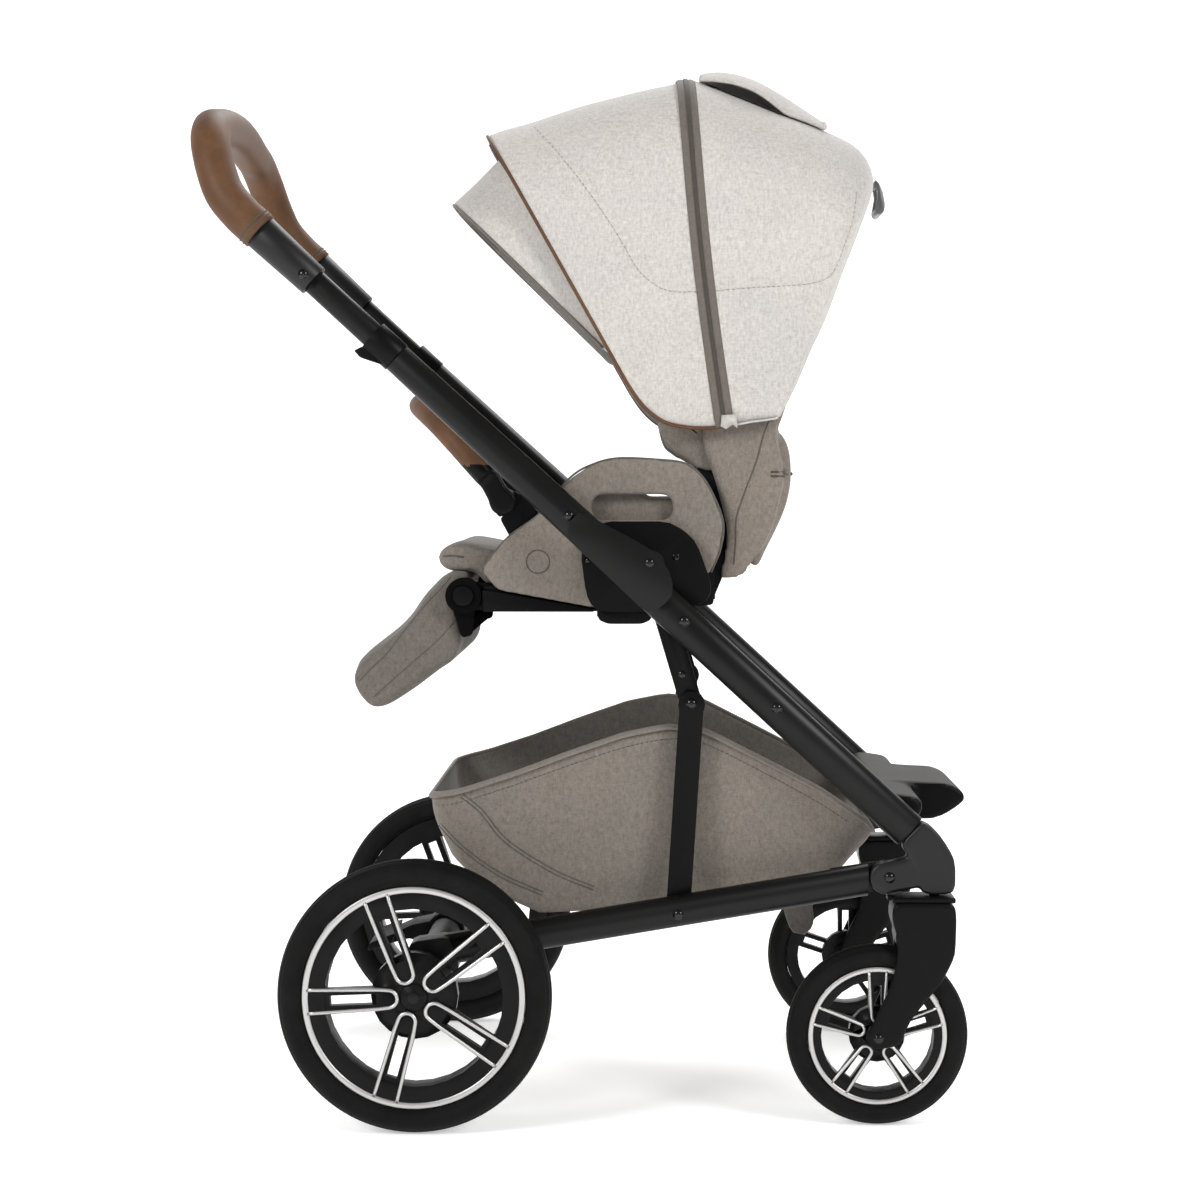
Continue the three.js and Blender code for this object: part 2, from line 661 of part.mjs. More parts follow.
// A closed sheet between arches; lean turns an arch's lower part forward.
function hood({ line, halfWidth, thickness, legStart, lean = () => 0, shrink = 0 }) {
  const layers = [0, thickness].map((depth) =>
    line.map(([x, z], column) => {
      const rise = new THREE.Vector2(x - canopyPivot[0], z - canopyPivot[1]);
      const reach = rise.length() - shrink - depth;
      return archSection(reach, halfWidth - depth, legStart, 5).map(([along, across]) => {
        const turn = rise.angle() + lean(along, column / (line.length - 1));
        return [
          canopyPivot[0] + along * Math.cos(turn),
          across,
          canopyPivot[1] + along * Math.sin(turn),
        ];
      });
    }),
  );
  return stitch(layers);
}

// Joins an outer and an inner grid of points into one closed solid.
function stitch([outerGrid, innerGrid]) {
  const columns = outerGrid.length;
  const rows = outerGrid[0].length;
  const points = [...outerGrid.flat(), ...innerGrid.flat()];
  const at = (layer, column, row) => layer * columns * rows + column * rows + row;
  const faces = [];
  const quad = (a, b, c, d) => faces.push(a, c, b, a, d, c);
  for (let i = 0; i < columns - 1; i += 1) {
    for (let j = 0; j < rows - 1; j += 1) {
      quad(at(0, i, j), at(0, i + 1, j), at(0, i + 1, j + 1), at(0, i, j + 1));
      quad(at(1, i, j), at(1, i, j + 1), at(1, i + 1, j + 1), at(1, i + 1, j));
    }
    quad(at(0, i, 0), at(1, i, 0), at(1, i + 1, 0), at(0, i + 1, 0));
    quad(at(0, i, rows - 1), at(0, i + 1, rows - 1), at(1, i + 1, rows - 1), at(1, i, rows - 1));
  }
  for (let j = 0; j < rows - 1; j += 1) {
    quad(at(0, 0, j), at(0, 0, j + 1), at(1, 0, j + 1), at(1, 0, j));
    const end = columns - 1;
    quad(at(0, end, j), at(1, end, j), at(1, end, j + 1), at(0, end, j + 1));
  }
  const geometry = new THREE.BufferGeometry();
  geometry.setAttribute("position", new THREE.Float32BufferAttribute(points.flat(), 3));
  geometry.setIndex(faces);
  geometry.computeVertexNormals();
  return geometry;
}

// How far the front arch turns at a distance along it; the lean fades over the front panel.
const frontLean = (along, fade) =>
  (1 - fade) * Math.asin((edgeBulge * Math.max(0, 1 - along / edgeReach)) / Math.max(along, 55));

const between = (a, b, share) => [a[0] + (b[0] - a[0]) * share, a[1] + (b[1] - a[1]) * share];

function addCanopy() {
  const cloth = { halfWidth: 183.6, thickness: 3, legStart: 55 };
  const rib = { halfWidth: 179.8, thickness: 4.5, legStart: 24, shrink: 3.9 };
  const [front, frontNext, midLast, mid, ...rear] = crown;
  add("canopy_front", hood({ ...cloth, line: [front, frontNext, midLast, mid], lean: frontLean }), "felt");
  const rearLine = [between(mid, rear[0], 0.05), ...rear];
  add("canopy_rear", hood({ ...cloth, line: rearLine, legStart: 30 }), "felt");
  const bowLean = (along, fade) => frontLean(along, 0.06 * fade);
  const frontBow = [between(front, frontNext, 0.02), between(front, frontNext, 0.18)];
  add("canopy_bow_front", hood({ ...rib, line: frontBow, lean: bowLean }), "steel");
  const midBow = [between(midLast, mid, 0.87), between(midLast, mid, 0.99)];
  add("canopy_bow_mid", hood({ ...rib, line: midBow }), "steel");
  const visor = { line: visorCrown, halfWidth: 171, thickness: 2.5, legStart: 150 };
  add("canopy_visor", hood(visor), "linen");
  const flapSide = [[298, 1137], [372, 1111], [440, 1078], [439, 1075], [371, 1107.5], [297, 1133.8]];
  add("canopy_flap", slab(flapSide, -105, 105), "felt");
}

// ---------------------------------------------------------------- the whole stroller
addWheels();
addPair("lower_tube", lowerTube(), "frame");
addPair("front_knuckle", frontKnuckle(), "plastic");
add("front_crossbar", frontCrossbar(), "plastic");
addPair("seat_socket", seatSocket(), "plastic");
addPair("base_rail", baseRail(), "frame");
add("rear_axle", rearAxle(), "frame");
add("basket", basket(), "linen");
add("brake_pedal", brakePedal(), "plastic");
addPair("strut_lower", strutLower(), "plastic");
addPair("strut_upper", strutUpper(), "plastic");
addPair("upper_tube", upperTube(), "frame");
addPair("fold_trigger", foldTrigger(), "plastic");
addPair("handle_tube", handleTubeSolid(), "frame");
addPair("handle_cap", handleCap(), "plastic");
add("handle_grip", handleGrip(), "leather");
add("handle_button", handleButton(), "plastic");
addPair("caster_fork", casterFork(), "plastic");
addPair("swivel_lock", swivelLock(), "plastic");
add("seat_frame", seatFrame(), "plastic");
addPair("side_panel", sidePanel(), "linen");
add("seat_cushion", seatCushion(), "linen");
addPair("seat_latch", seatLatch(), "plastic");
add("harness_buckle", buckle(), "plastic");
add("buckle_button", buckleButton(), "plastic");
add("calf_frame", calfFrame(), "plastic");
add("calf_pad", calfPad(), "linen");
addPair("calf_button", calfButton(), "plastic");
add("arm_bar", armBar(), "leather");
add("back_shell", backShell(), "linen");
add("back_pad", backPad(), "linen");
add("recline_handle", reclineHandle(), "steel");
addCanopy();

export default stroller;
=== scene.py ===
"""A baby stroller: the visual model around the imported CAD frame. Metres, +X forward, +Y left, +Z up."""
import math

import bmesh
import bpy
import numpy as np
from mathutils import Matrix, Vector, noise
from mathutils.bvhtree import BVHTree


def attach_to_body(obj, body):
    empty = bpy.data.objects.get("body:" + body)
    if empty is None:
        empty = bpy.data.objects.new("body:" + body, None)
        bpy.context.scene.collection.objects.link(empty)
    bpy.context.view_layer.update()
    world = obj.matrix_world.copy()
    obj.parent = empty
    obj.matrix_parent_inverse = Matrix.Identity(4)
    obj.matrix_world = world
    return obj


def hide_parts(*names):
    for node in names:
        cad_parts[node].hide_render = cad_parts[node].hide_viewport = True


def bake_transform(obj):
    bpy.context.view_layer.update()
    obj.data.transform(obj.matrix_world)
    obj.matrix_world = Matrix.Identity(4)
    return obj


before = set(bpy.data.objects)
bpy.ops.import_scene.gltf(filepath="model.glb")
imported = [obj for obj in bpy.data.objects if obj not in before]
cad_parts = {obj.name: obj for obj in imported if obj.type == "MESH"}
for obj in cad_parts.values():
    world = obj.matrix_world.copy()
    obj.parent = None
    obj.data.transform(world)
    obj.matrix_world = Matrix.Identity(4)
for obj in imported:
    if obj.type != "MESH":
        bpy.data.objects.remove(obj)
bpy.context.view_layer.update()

REAR_AXLE_X = -0.1719  # shapes below are drawn in millimetres, with X counted from the rear axle
SIDES = (("left", 1), ("right", -1))
SIM_FRAMES = 20
SHARP_EDGE = math.radians(34)
SKY_LIGHT = 0.22
PAPER_GLOW = 0.46
LAMPS = (  # name, place, size and power
    ("left", (-2.7, -2.8, 2.5), 1.2, 88),
    ("right", (2.8, -2.7, 2.4), 1.2, 78),
    ("back", (0.5, 1.8, 3.2), 2.2, 60),
)


# ---------------------------------------------------------------- points and curves
def mm(x, y, z):
    return Vector((x / 1000 + REAR_AXLE_X, y / 1000, z / 1000))


def curve_points(points):
    """A fine smooth curve through the given points, 24 steps between two of them."""
    points = np.array(points, float)
    padded = np.vstack([2 * points[0] - points[1], points, 2 * points[-1] - points[-2]])
    fine = []
    for a, b, c, d in zip(padded, padded[1:], padded[2:], padded[3:]):
        for t in np.linspace(0, 1, 24, endpoint=False):
            bend = (2 * a - 5 * b + 4 * c - d) * t**2 + (3 * b - a - 3 * c + d) * t**3
            fine.append(b + ((c - a) * t + bend) / 2)
    fine.append(points[-1])
    return fine


def curve_through(points, count):
    """Points at even spacing on a smooth curve through the given points."""
    return even_spacing(curve_points(points), count)


def even_spacing(points, count):
    points = np.array(points, float)
    run = np.concatenate([[0], np.cumsum(np.linalg.norm(np.diff(points, axis=0), axis=1))])
    wanted = np.linspace(0, run[-1], count)
    return np.column_stack([np.interp(wanted, run, points[:, k]) for k in range(points.shape[1])])


def circle(count):
    """Evenly spaced pairs of a cosine and a sine, once round."""
    turns = [2 * math.pi * k / count for k in range(count)]
    return [(math.cos(turn), math.sin(turn)) for turn in turns]


def wave(point, size, seed):
    """Smooth noise from about -1 to 1, with features about size metres across."""
    return noise.noise(Vector(point) / size + Vector((seed, 0, 0)))


# ---------------------------------------------------------------- mesh builders
def new_object(name, points, faces, *materials):
    mesh = bpy.data.meshes.new(name)
    mesh.from_pydata([tuple(p) for p in points], [], faces)
    mesh.update()
    made = bpy.data.objects.new(name, mesh)
    bpy.context.scene.collection.objects.link(made)
    for material in materials:
        mesh.materials.append(material)
    mesh.shade_smooth()
    return made


def grid_object(name, rows, *materials, closed=False):
    """A sheet from rows of points; closed joins the last row to the first."""
    across = len(rows[0])
    faces = []
    for i in range(len(rows) if closed else len(rows) - 1):
        j = (i + 1) % len(rows)
        for k in range(across - 1):
            faces.append((i * across + k, i * across + k + 1, j * across + k + 1, j * across + k))
    return new_object(name, [p for row in rows for p in row], faces, *materials)


def tube(name, path, radius, material, sides=12, flatten=1.0, closed=False, up=(0, 1, 0)):
    """A tube along a path, or a closed ring. Flatten scales its width across the up direction."""
    path = [Vector(p) for p in path]
    count = len(path)
    points, faces = [], []
    side = None
    for i, here in enumerate(path):
        before = path[(i - 1) % count] if closed else path[max(i - 1, 0)]
        after = path[(i + 1) % count] if closed else path[min(i + 1, count - 1)]
        along = (after - before).normalized()
        if side is None:
            side = along.cross(Vector(up))
            if side.length < 0.1:
                side = along.cross(Vector((1, 0, 0)))
        side = (side - along * side.dot(along)).normalized()
        other = along.cross(side)
        for c, s in circle(sides):
            points.append(here + side * c * radius * flatten + other * s * radius)
    for i in range(count if closed else count - 1):
        j = (i + 1) % count
        for k in range(sides):
            n = (k + 1) % sides
            faces.append((i * sides + k, i * sides + n, j * sides + n, j * sides + k))
    if not closed:
        faces += [tuple(range(sides))[::-1], tuple((count - 1) * sides + k for k in range(sides))]
    return new_object(name, points, faces, material)


def lathe(name, profile, centre, material, steps):
    """A closed ring about the Y axis through centre, from (radius, across) pairs in millimetres."""
    rows = []
    for c, s in circle(steps):
        rows.append([centre + Vector((r * c, across, r * s)) / 1000 for r, across in profile + profile[:1]])
    made = grid_object(name, rows, material, closed=True)
    weld(made)
    return made


def edit_mesh(target, work):
    """Changes an object's mesh by work(edit), where edit is its mesh in editable form."""
    edit = bmesh.new()
    edit.from_mesh(target.data)
    work(edit)
    edit.to_mesh(target.data)
    edit.free()


def weld(target, distance=0.00002):
    def work(edit):
        bmesh.ops.remove_doubles(edit, verts=edit.verts, dist=distance)
        bmesh.ops.recalc_face_normals(edit, faces=edit.faces)

    edit_mesh(target, work)


def smooth(target, rounds):
    def work(edit):
        for _ in range(rounds):
            bmesh.ops.smooth_vert(
                edit, verts=edit.verts, factor=0.5, use_axis_x=True, use_axis_y=True, use_axis_z=True
            )

    edit_mesh(target, work)


def face_away(target, inside):
    """Turns a cloth's faces to look away from a point inside it."""
    def work(edit):
        facing = sum((f.calc_center_median() - inside).dot(f.normal) * f.calc_area() for f in edit.faces)
        if facing < 0:
            bmesh.ops.reverse_faces(edit, faces=edit.faces)

    edit_mesh(target, work)


def prism(name, outline, y_low, y_high, *materials):
    """A closed slab: an outline in X and Z, in millimetres, stretched from y_low to y_high."""
    count = len(outline)
    points = [mm(x, y, z) for y in (y_low, y_high) for x, z in outline]
    faces = [tuple(range(count)), tuple(range(2 * count - 1, count - 1, -1))]
    faces += [(i, (i + 1) % count, (i + 1) % count + count, i + count) for i in range(count)]
    made = new_object(name, points, faces, *materials)
    weld(made)
    return made


def melt(target, voxel, rounds, materials):
    """Remeshes a body evenly, rounds it off and gives it its materials."""
    even = target.modifiers.new("even", "REMESH")
    even.mode = "VOXEL"
    even.voxel_size = voxel
    bake(target)
    target.data.materials.clear()
    for material in materials:
        target.data.materials.append(material)
    smooth(target, rounds)
    return target


def slab(outline, sign, inner, outer):
    """A slab for soft_slabs that lies on one side of the stroller."""
    return (outline, *sorted((sign * inner, sign * outer)))


def soft_slabs(name, slabs, voxel, rounds, *materials):
    """Several slabs melted into one soft body. Each slab is (outline, y_low, y_high)."""
    parts = [prism(name, curve_round(outline), low, high) for outline, low, high in slabs]
    made = joined(name, parts) if len(parts) > 1 else parts[0]
    return melt(made, voxel, rounds, materials)


def curve_round(outline):
    """A smooth closed curve through the corners of an outline."""
    count = len(outline)
    wrapped = [*outline[-3:], *outline, *outline[:3]]
    steps = 24  # points that curve_through makes between two corners
    fine = curve_points(wrapped)[3 * steps : (3 + count) * steps]
    return even_spacing([*fine, fine[0]], 8 * count + 1)[:-1].tolist()


def joined(name, parts):
    """Several objects as one, with each part's materials kept."""
    bpy.ops.object.select_all(action="DESELECT")
    for part in parts:
        part.select_set(True)
    bpy.context.view_layer.objects.active = parts[0]
    bpy.ops.object.join()
    parts[0].name = name
    parts[0].data.name = name
    return parts[0]


def bake(target):
    """Applies an object's modifiers to its own mesh."""
    graph = bpy.context.evaluated_depsgraph_get()
    mesh = bpy.data.meshes.new_from_object(target.evaluated_get(graph))
    target.modifiers.clear()
    target.data = mesh
    mesh.shade_smooth()
    return target


def add_thickness(target, thickness, inside=0):
    shell = target.modifiers.new("thickness", "SOLIDIFY")
    shell.thickness = thickness
    shell.offset = -1
    shell.material_offset = inside
    return bake(target)


def crumple(target, depth, size, seed):
    """Moves each point of a mesh in or out by smooth noise."""
    mesh = target.data
    moved = [v.co + v.normal * depth * wave(v.co, size, seed) for v in mesh.vertices]
    mesh.vertices.foreach_set("co", [c for point in moved for c in point])
    mesh.update()


def soft_copy(name, node, voxel, rounds, *materials):
    """A rounded copy of a CAD node's shape, remeshed evenly, which stands for that node."""
    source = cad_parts[node]
    made = bpy.data.objects.new(name, source.data.copy())
    bpy.context.scene.collection.objects.link(made)
    made.data.materials.clear()
    weld(made)
    melt(made, voxel, rounds, materials)
    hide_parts(node)
    return made


def swell(target, cap):
    """Puffs a pad up as cloth under pressure, no point by more than cap, and rounds it off again."""
    mesh = target.data
    start = [v.co.copy() for v in mesh.vertices]
    cloth = target.modifiers.new("cloth", "CLOTH")
    settings = cloth.settings
    settings.quality = 4
    settings.mass = 0.2
    settings.tension_stiffness = 12
    settings.compression_stiffness = 12
    settings.use_pressure = True
    settings.uniform_pressure_force = 4.0
    settings.effector_weights.gravity = 0
    cloth.point_cache.frame_start = 1
    cloth.point_cache.frame_end = SIM_FRAMES
    scene = bpy.context.scene
    for step in range(1, SIM_FRAMES + 1):
        scene.frame_set(step)
    graph = bpy.context.evaluated_depsgraph_get()
    moved = [v.co.copy() for v in target.evaluated_get(graph).data.vertices]
    target.modifiers.clear()
    for vertex, before, after in zip(mesh.vertices, start, moved):
        step = after - before
        if step.length > cap:
            step = step * (cap / step.length)
        vertex.co = before + step
    mesh.update()
    scene.frame_set(1)
    smooth(target, 1)


def subdivide(target):
    finer = target.modifiers.new("finer", "SUBSURF")
    finer.levels = finer.render_levels = 1
    bake(target)


def attach(piece, body):
    """Puts a piece on the body that carries it."""
    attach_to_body(piece, body)


def attach_padded(piece, body):
    attach(piece, body)


# ---------------------------------------------------------------- lines laid on a surface
def surface_of(target):
    mesh = target.data
    return BVHTree.FromPolygons([v.co for v in mesh.vertices], [tuple(p.vertices) for p in mesh.polygons])


def drop_on(surface, point, direction):
    """Where a ray from far behind point along direction first meets the surface, with its normal."""
    direction = Vector(direction).normalized()
    place, normal, _, _ = surface.ray_cast(Vector(point) - direction, direction)
    if place is None:
        place, normal, _, _ = surface.find_nearest(Vector(point))
    if normal.dot(direction) > 0:
        normal = -normal
    return place, normal


def line_on(surface, points, direction, spacing, rise=0.0):
    """A smooth line through points, dropped on a surface along a direction."""
    points = [Vector(p) for p in points]
    length = sum((b - a).length for a, b in zip(points, points[1:]))
    path = curve_through(points, max(4, int(length / spacing)))
    dropped = []
    for point in path:
        place, normal = drop_on(surface, point, direction)
        dropped.append(place + normal * rise)
    return dropped


def seam(name, surface, points, direction, material, radius):
    """A thin cord that lies on a surface."""
    return tube(name, line_on(surface, points, direction, 0.005), radius, material, sides=6)


def stitches(name, surface, points, direction, material, length=0.0034, pitch=0.0052, radius=0.00045):
    """A row of short threads on a surface."""
    path = line_on(surface, points, direction, pitch, 0.0002)
    parts = []
    for here, there in zip(path, path[1:]):
        along = (there - here).normalized() * min(length, (there - here).length * 0.7)
        parts.append(tube(name, [here, here + along * 0.5, here + along], radius, material, sides=4))
    return joined(name, parts)


# ---------------------------------------------------------------- materials
def start_material(name, colour, **values):
    """A new material. Plain numbers are set on the shader itself."""
    material = bpy.data.materials.new(name)
    material.use_nodes = True
    shader = material.node_tree.nodes["Principled BSDF"]
    shader.inputs["Base Color"].default_value = (*colour, 1)
    for key, value in values.items():
        shader.inputs[key.replace("_", " ").title().replace("Ior", "IOR")].default_value = value
    return material, material.node_tree, shader


def add(tree, kind, settings=None, **inputs):
    """A shader node; an input is a plain value or another node's output."""
    made = tree.nodes.new("ShaderNode" + kind)
    for key, value in (settings or {}).items():
        setattr(made, key, value)
    for key, value in inputs.items():
        name = key.replace("_", " ")
        socket = made.inputs[int(name[1:])] if name[0] == "n" and name[1:].isdigit() else made.inputs[name]
        if isinstance(value, bpy.types.NodeSocket):
            tree.links.new(value, socket)
        else:
            socket.default_value = value
    return made


def place(tree, scale=(1, 1, 1), turn=(0, 0, 0)):
    """Coordinates that move with the piece."""
    coordinates = add(tree, "TexCoord")
    return add(tree, "Mapping", Vector=coordinates.outputs["Object"], Scale=scale, Rotation=turn).outputs[0]


def grain(tree, vector, scale, detail=2.0, roughness=0.5):
    made = add(tree, "TexNoise", Vector=vector, Scale=scale, Detail=detail, Roughness=roughness)
    return made.outputs["Fac"]


def ramp(tree, fac, stops):
    made = add(tree, "ValToRGB", Fac=fac)
    points = made.color_ramp.elements
    while len(points) < len(stops):
        points.new(0.5)
    for point, (position, colour) in zip(points, stops):
        point.position = position
        point.color = (*colour, 1)
    return made.outputs["Color"]


def mix(tree, fac, a, b, mode="MIX"):
    made = add(tree, "MixRGB", {"blend_type": mode}, Fac=fac, Color1=a, Color2=b)
    return made.outputs["Color"]


def shift(tree, value, low, high):
    """Maps 0 to 1 onto low to high."""
    made = add(tree, "MapRange", Value=value, To_Min=low, To_Max=high)
    return made.outputs["Result"]


def dress(tree, shader, tones, roughness, height, distance, strength):
    """Links a shader's colour and roughness, and a bump from height."""
    made = add(tree, "Bump", Height=height, Distance=distance, Strength=strength)
    tree.links.new(tones, shader.inputs["Base Color"])
    tree.links.new(roughness, shader.inputs["Roughness"])
    tree.links.new(made.outputs["Normal"], shader.inputs["Normal"])


def shade(colour, factor):
    return tuple(c * factor for c in colour)


def woven(name, colour, contrast, warmth=(1.0, 1.0, 1.0), thread=900.0, slub=260.0, depth=0.0005):
    """Cloth with threads along and across, uneven yarn and a slow change of tone."""
    material, tree, shader = start_material(
        name, colour, roughness=0.92, sheen_weight=0.25, sheen_roughness=0.5, specular_ior_level=0.2
    )
    upright = grain(tree, place(tree, (1, 1, 0.22)), thread, 1.5, 0.6)
    level = grain(tree, place(tree, (0.22, 0.22, 1)), thread, 1.5, 0.6)
    threads = mix(tree, 0.5, upright, level)
    yarn = grain(tree, place(tree, (1, 1, 0.6)), slub, 4.0, 0.75)
    tone = mix(tree, 0.5, threads, yarn)
    low, high = shade(colour, 1 - contrast), shade(colour, 1 + contrast * 0.75)
    flecks = ramp(tree, tone, [(0.34, low), (0.5, colour), (0.64, high)])
    slow = grain(tree, place(tree), 9.0, 3.0)
    warm = ramp(tree, slow, [(0.35, (0.93, 0.93, 0.93)), (0.65, warmth)])
    tones = mix(tree, 1.0, flecks, warm, "MULTIPLY")
    dress(tree, shader, tones, shift(tree, threads, 0.86, 1.0), mix(tree, 0.35, threads, yarn), depth, 0.8)
    return material


def leather(name, colour):
    """Brown leather: fine pebbles, soft patches of wear, painted shade in the creases between the pebbles,
    and a low sheen.
    """
    material, tree, shader = start_material(name, colour, roughness=0.5, specular_ior_level=0.22)
    pebbles = add(tree, "TexVoronoi", {"feature": "DISTANCE_TO_EDGE"}, Vector=place(tree), Scale=720.0)
    patches = grain(tree, place(tree), 26.0, 5.0, 0.6)
    pores = grain(tree, place(tree), 900.0, 3.0)
    tones = ramp(tree, patches, [(0.3, shade(colour, 0.78)), (0.55, colour), (0.75, shade(colour, 1.28))])
    # Painted shade: the creases between the pebbles are darkened.
    creases = ramp(tree, pebbles.outputs["Distance"], [(0.0, (0.72, 0.7, 0.68)), (0.12, (1, 1, 1))])
    tones = mix(tree, 0.6, tones, mix(tree, 1.0, tones, creases, "MULTIPLY"))
    height = mix(tree, 0.4, pebbles.outputs["Distance"], pores)
    dress(tree, shader, tones, shift(tree, patches, 0.42, 0.62), height, 0.0004, 0.45)
    return material


def moulded(name, colour, roughness, fine=1500.0, depth=0.00012, gloss=0.12):
    """Moulded plastic or powder coat: a fine even grain and slight changes of gloss."""
    material, tree, shader = start_material(name, colour, roughness=roughness, specular_ior_level=gloss)
    skin = grain(tree, place(tree), fine, 2.0)
    slow = grain(tree, place(tree), 14.0, 3.0)
    tones = ramp(tree, slow, [(0.3, shade(colour, 0.88)), (0.7, shade(colour, 1.12))])
    dress(tree, shader, tones, shift(tree, slow, roughness - 0.06, roughness + 0.06), skin, depth, 0.5)
    return material


def rubber(name, colour):
    """Tyre rubber with a little dust in its pores."""
    material, tree, shader = start_material(name, colour, roughness=0.60, specular_ior_level=0.10)
    skin = grain(tree, place(tree), 700.0, 4.0)
    dust = grain(tree, place(tree), 30.0, 5.0, 0.65)
    tones = ramp(tree, dust, [(0.35, colour), (0.8, shade(colour, 2.0))])
    dress(tree, shader, tones, shift(tree, dust, 0.52, 0.78), skin, 0.0003, 0.4)
    return material


def machined(name, colour, roughness):
    """Bare metal with fine turning marks."""
    material, tree, shader = start_material(name, colour, roughness=roughness, metallic=1.0)
    marks = grain(tree, place(tree, (1, 0.2, 1)), 1100.0, 3.0)
    tones = ramp(tree, marks, [(0.3, shade(colour, 0.86)), (0.7, colour)])
    dress(tree, shader, tones, shift(tree, marks, roughness - 0.08, roughness + 0.1), marks, 0.00005, 0.4)
    return material


FRAME_BLACK = moulded("frame_coat", (0.0042, 0.0038, 0.0036), 0.36, 1300.0, 0.00008, gloss=0.26)
COVER_BLACK = moulded("satin_cover", (0.0050, 0.0047, 0.0045), 0.42, gloss=0.42)
PLASTIC = moulded("moulded_plastic", (0.0036, 0.0036, 0.0037), 0.40, gloss=0.09)
MATT_PLASTIC = moulded("matt_plastic", (0.0050, 0.0050, 0.0051), 0.60, gloss=0.0)
SOFT_PLASTIC = moulded("satin_plastic", (0.0040, 0.0038, 0.0037), 0.36, gloss=0.12)
BUTTON_GREY = moulded("button_plastic", (0.11, 0.108, 0.105), 0.5)
WHEEL_BLACK = moulded("wheel_plastic", (0.007, 0.007, 0.0072), 0.32)
TREAD_BROWN = moulded("tread_plastic", (0.034, 0.030, 0.027), 0.55, 900.0, 0.0002)
SCREW = moulded("screw_black", (0.0025, 0.0025, 0.0025), 0.20, 900.0, 0.00001, gloss=0.5)
RUBBER = rubber("tyre_rubber", (0.0055, 0.0053, 0.0052))
SILVER = machined("machined_edge", (0.66, 0.65, 0.64), 0.38)
STEEL = machined("brushed_steel", (0.20, 0.20, 0.205), 0.36)
LEATHER = leather("brown_leather", (0.128, 0.062, 0.030))
LINEN = woven("taupe_linen", (0.205, 0.182, 0.158), 0.34, (1.04, 1.01, 0.98))
# Painted shade: the calf pad's linen, darker than the same cloth elsewhere.
CALF_LINEN_SHADED = woven("calf_linen_painted_shade", (0.150, 0.133, 0.116), 0.34, (1.04, 1.01, 0.98))
HEM_LINEN = woven("hem_linen", (0.215, 0.192, 0.167), 0.22, (1.05, 1.02, 0.98))
DARK_LINEN = woven("shaded_linen", (0.105, 0.096, 0.086), 0.3)
FELT = woven("off_white_felt", (0.560, 0.536, 0.512), 0.27, (1.0, 0.985, 0.965), 700.0, 330.0, 0.0007)
# Painted shade: a darker copy of the linen for the seam grooves and the wing's ring.
SEAM_SHADE_LINEN = woven("seam_linen", (0.105, 0.093, 0.081), 0.2)
# Painted shade: a darker copy of the linen for the inside of the basket.
LINEN_INSIDE_SHADED = woven("linen_inside_painted_shade", (0.165, 0.150, 0.133), 0.3)
LINING = woven("lining_cloth", (0.30, 0.285, 0.27), 0.18)
DARK_TAPE = woven("zip_teeth", (0.070, 0.060, 0.052), 0.2)
TAPE = woven("zip_tape", (0.150, 0.130, 0.112), 0.2)
STRAP = woven("webbing", (0.030, 0.029, 0.028), 0.3)
# Black mesh for the hood's window; the same black is painted shade on the webs beside the backrest pad.
BLACK_MESH_AND_SHADE = woven("black_mesh_and_painted_shade", (0.012, 0.012, 0.012), 0.4)
THREAD_LIGHT = woven("pale_thread", (0.36, 0.33, 0.30), 0.15)
THREAD_DARK = woven("dark_thread", (0.085, 0.070, 0.058), 0.15)


# ---------------------------------------------------------------- carried-over CAD parts
def soft_edges_nodes():
    """A node group that shades shallow edges smooth and keeps sharp ones."""
    group = bpy.data.node_groups.new("smooth_by_angle", "GeometryNodeTree")
    group.interface.new_socket("Geometry", in_out="INPUT", socket_type="NodeSocketGeometry")
    group.interface.new_socket("Geometry", in_out="OUTPUT", socket_type="NodeSocketGeometry")
    start = group.nodes.new("NodeGroupInput")
    end = group.nodes.new("NodeGroupOutput")
    faces = group.nodes.new("GeometryNodeSetShadeSmooth")
    edges = group.nodes.new("GeometryNodeSetShadeSmooth")
    edges.domain = "EDGE"
    angle = group.nodes.new("GeometryNodeInputMeshEdgeAngle")
    shallow = group.nodes.new("FunctionNodeCompare")
    shallow.operation = "LESS_THAN"
    shallow.inputs[1].default_value = SHARP_EDGE
    group.links.new(start.outputs[0], faces.inputs["Geometry"])
    group.links.new(faces.outputs[0], edges.inputs["Geometry"])
    group.links.new(angle.outputs["Unsigned Angle"], shallow.inputs[0])
    group.links.new(shallow.outputs[0], edges.inputs["Shade Smooth"])
    group.links.new(edges.outputs[0], end.inputs[0])
    return group


SMOOTH_BY_ANGLE = soft_edges_nodes()


def finish_cad(node, material):
    """Gives a CAD part its material and eased edges."""
    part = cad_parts[node]
    part.data.materials.clear()
    part.data.materials.append(material)
    custom = part.data.attributes.get("custom_normal")
    if custom:
        part.data.attributes.remove(custom)
    part.modifiers.new("join", "WELD").merge_threshold = 0.00001
    flat = part.modifiers.new("flat", "DECIMATE")
    flat.decimate_type = "DISSOLVE"
    flat.angle_limit = math.radians(0.6)
    ease = part.modifiers.new("ease", "BEVEL")
    ease.width = 0.0008
    ease.segments = 2
    ease.limit_method = "ANGLE"
    ease.angle_limit = SHARP_EDGE
    part.modifiers.new("shade", "NODES").node_group = SMOOTH_BY_ANGLE


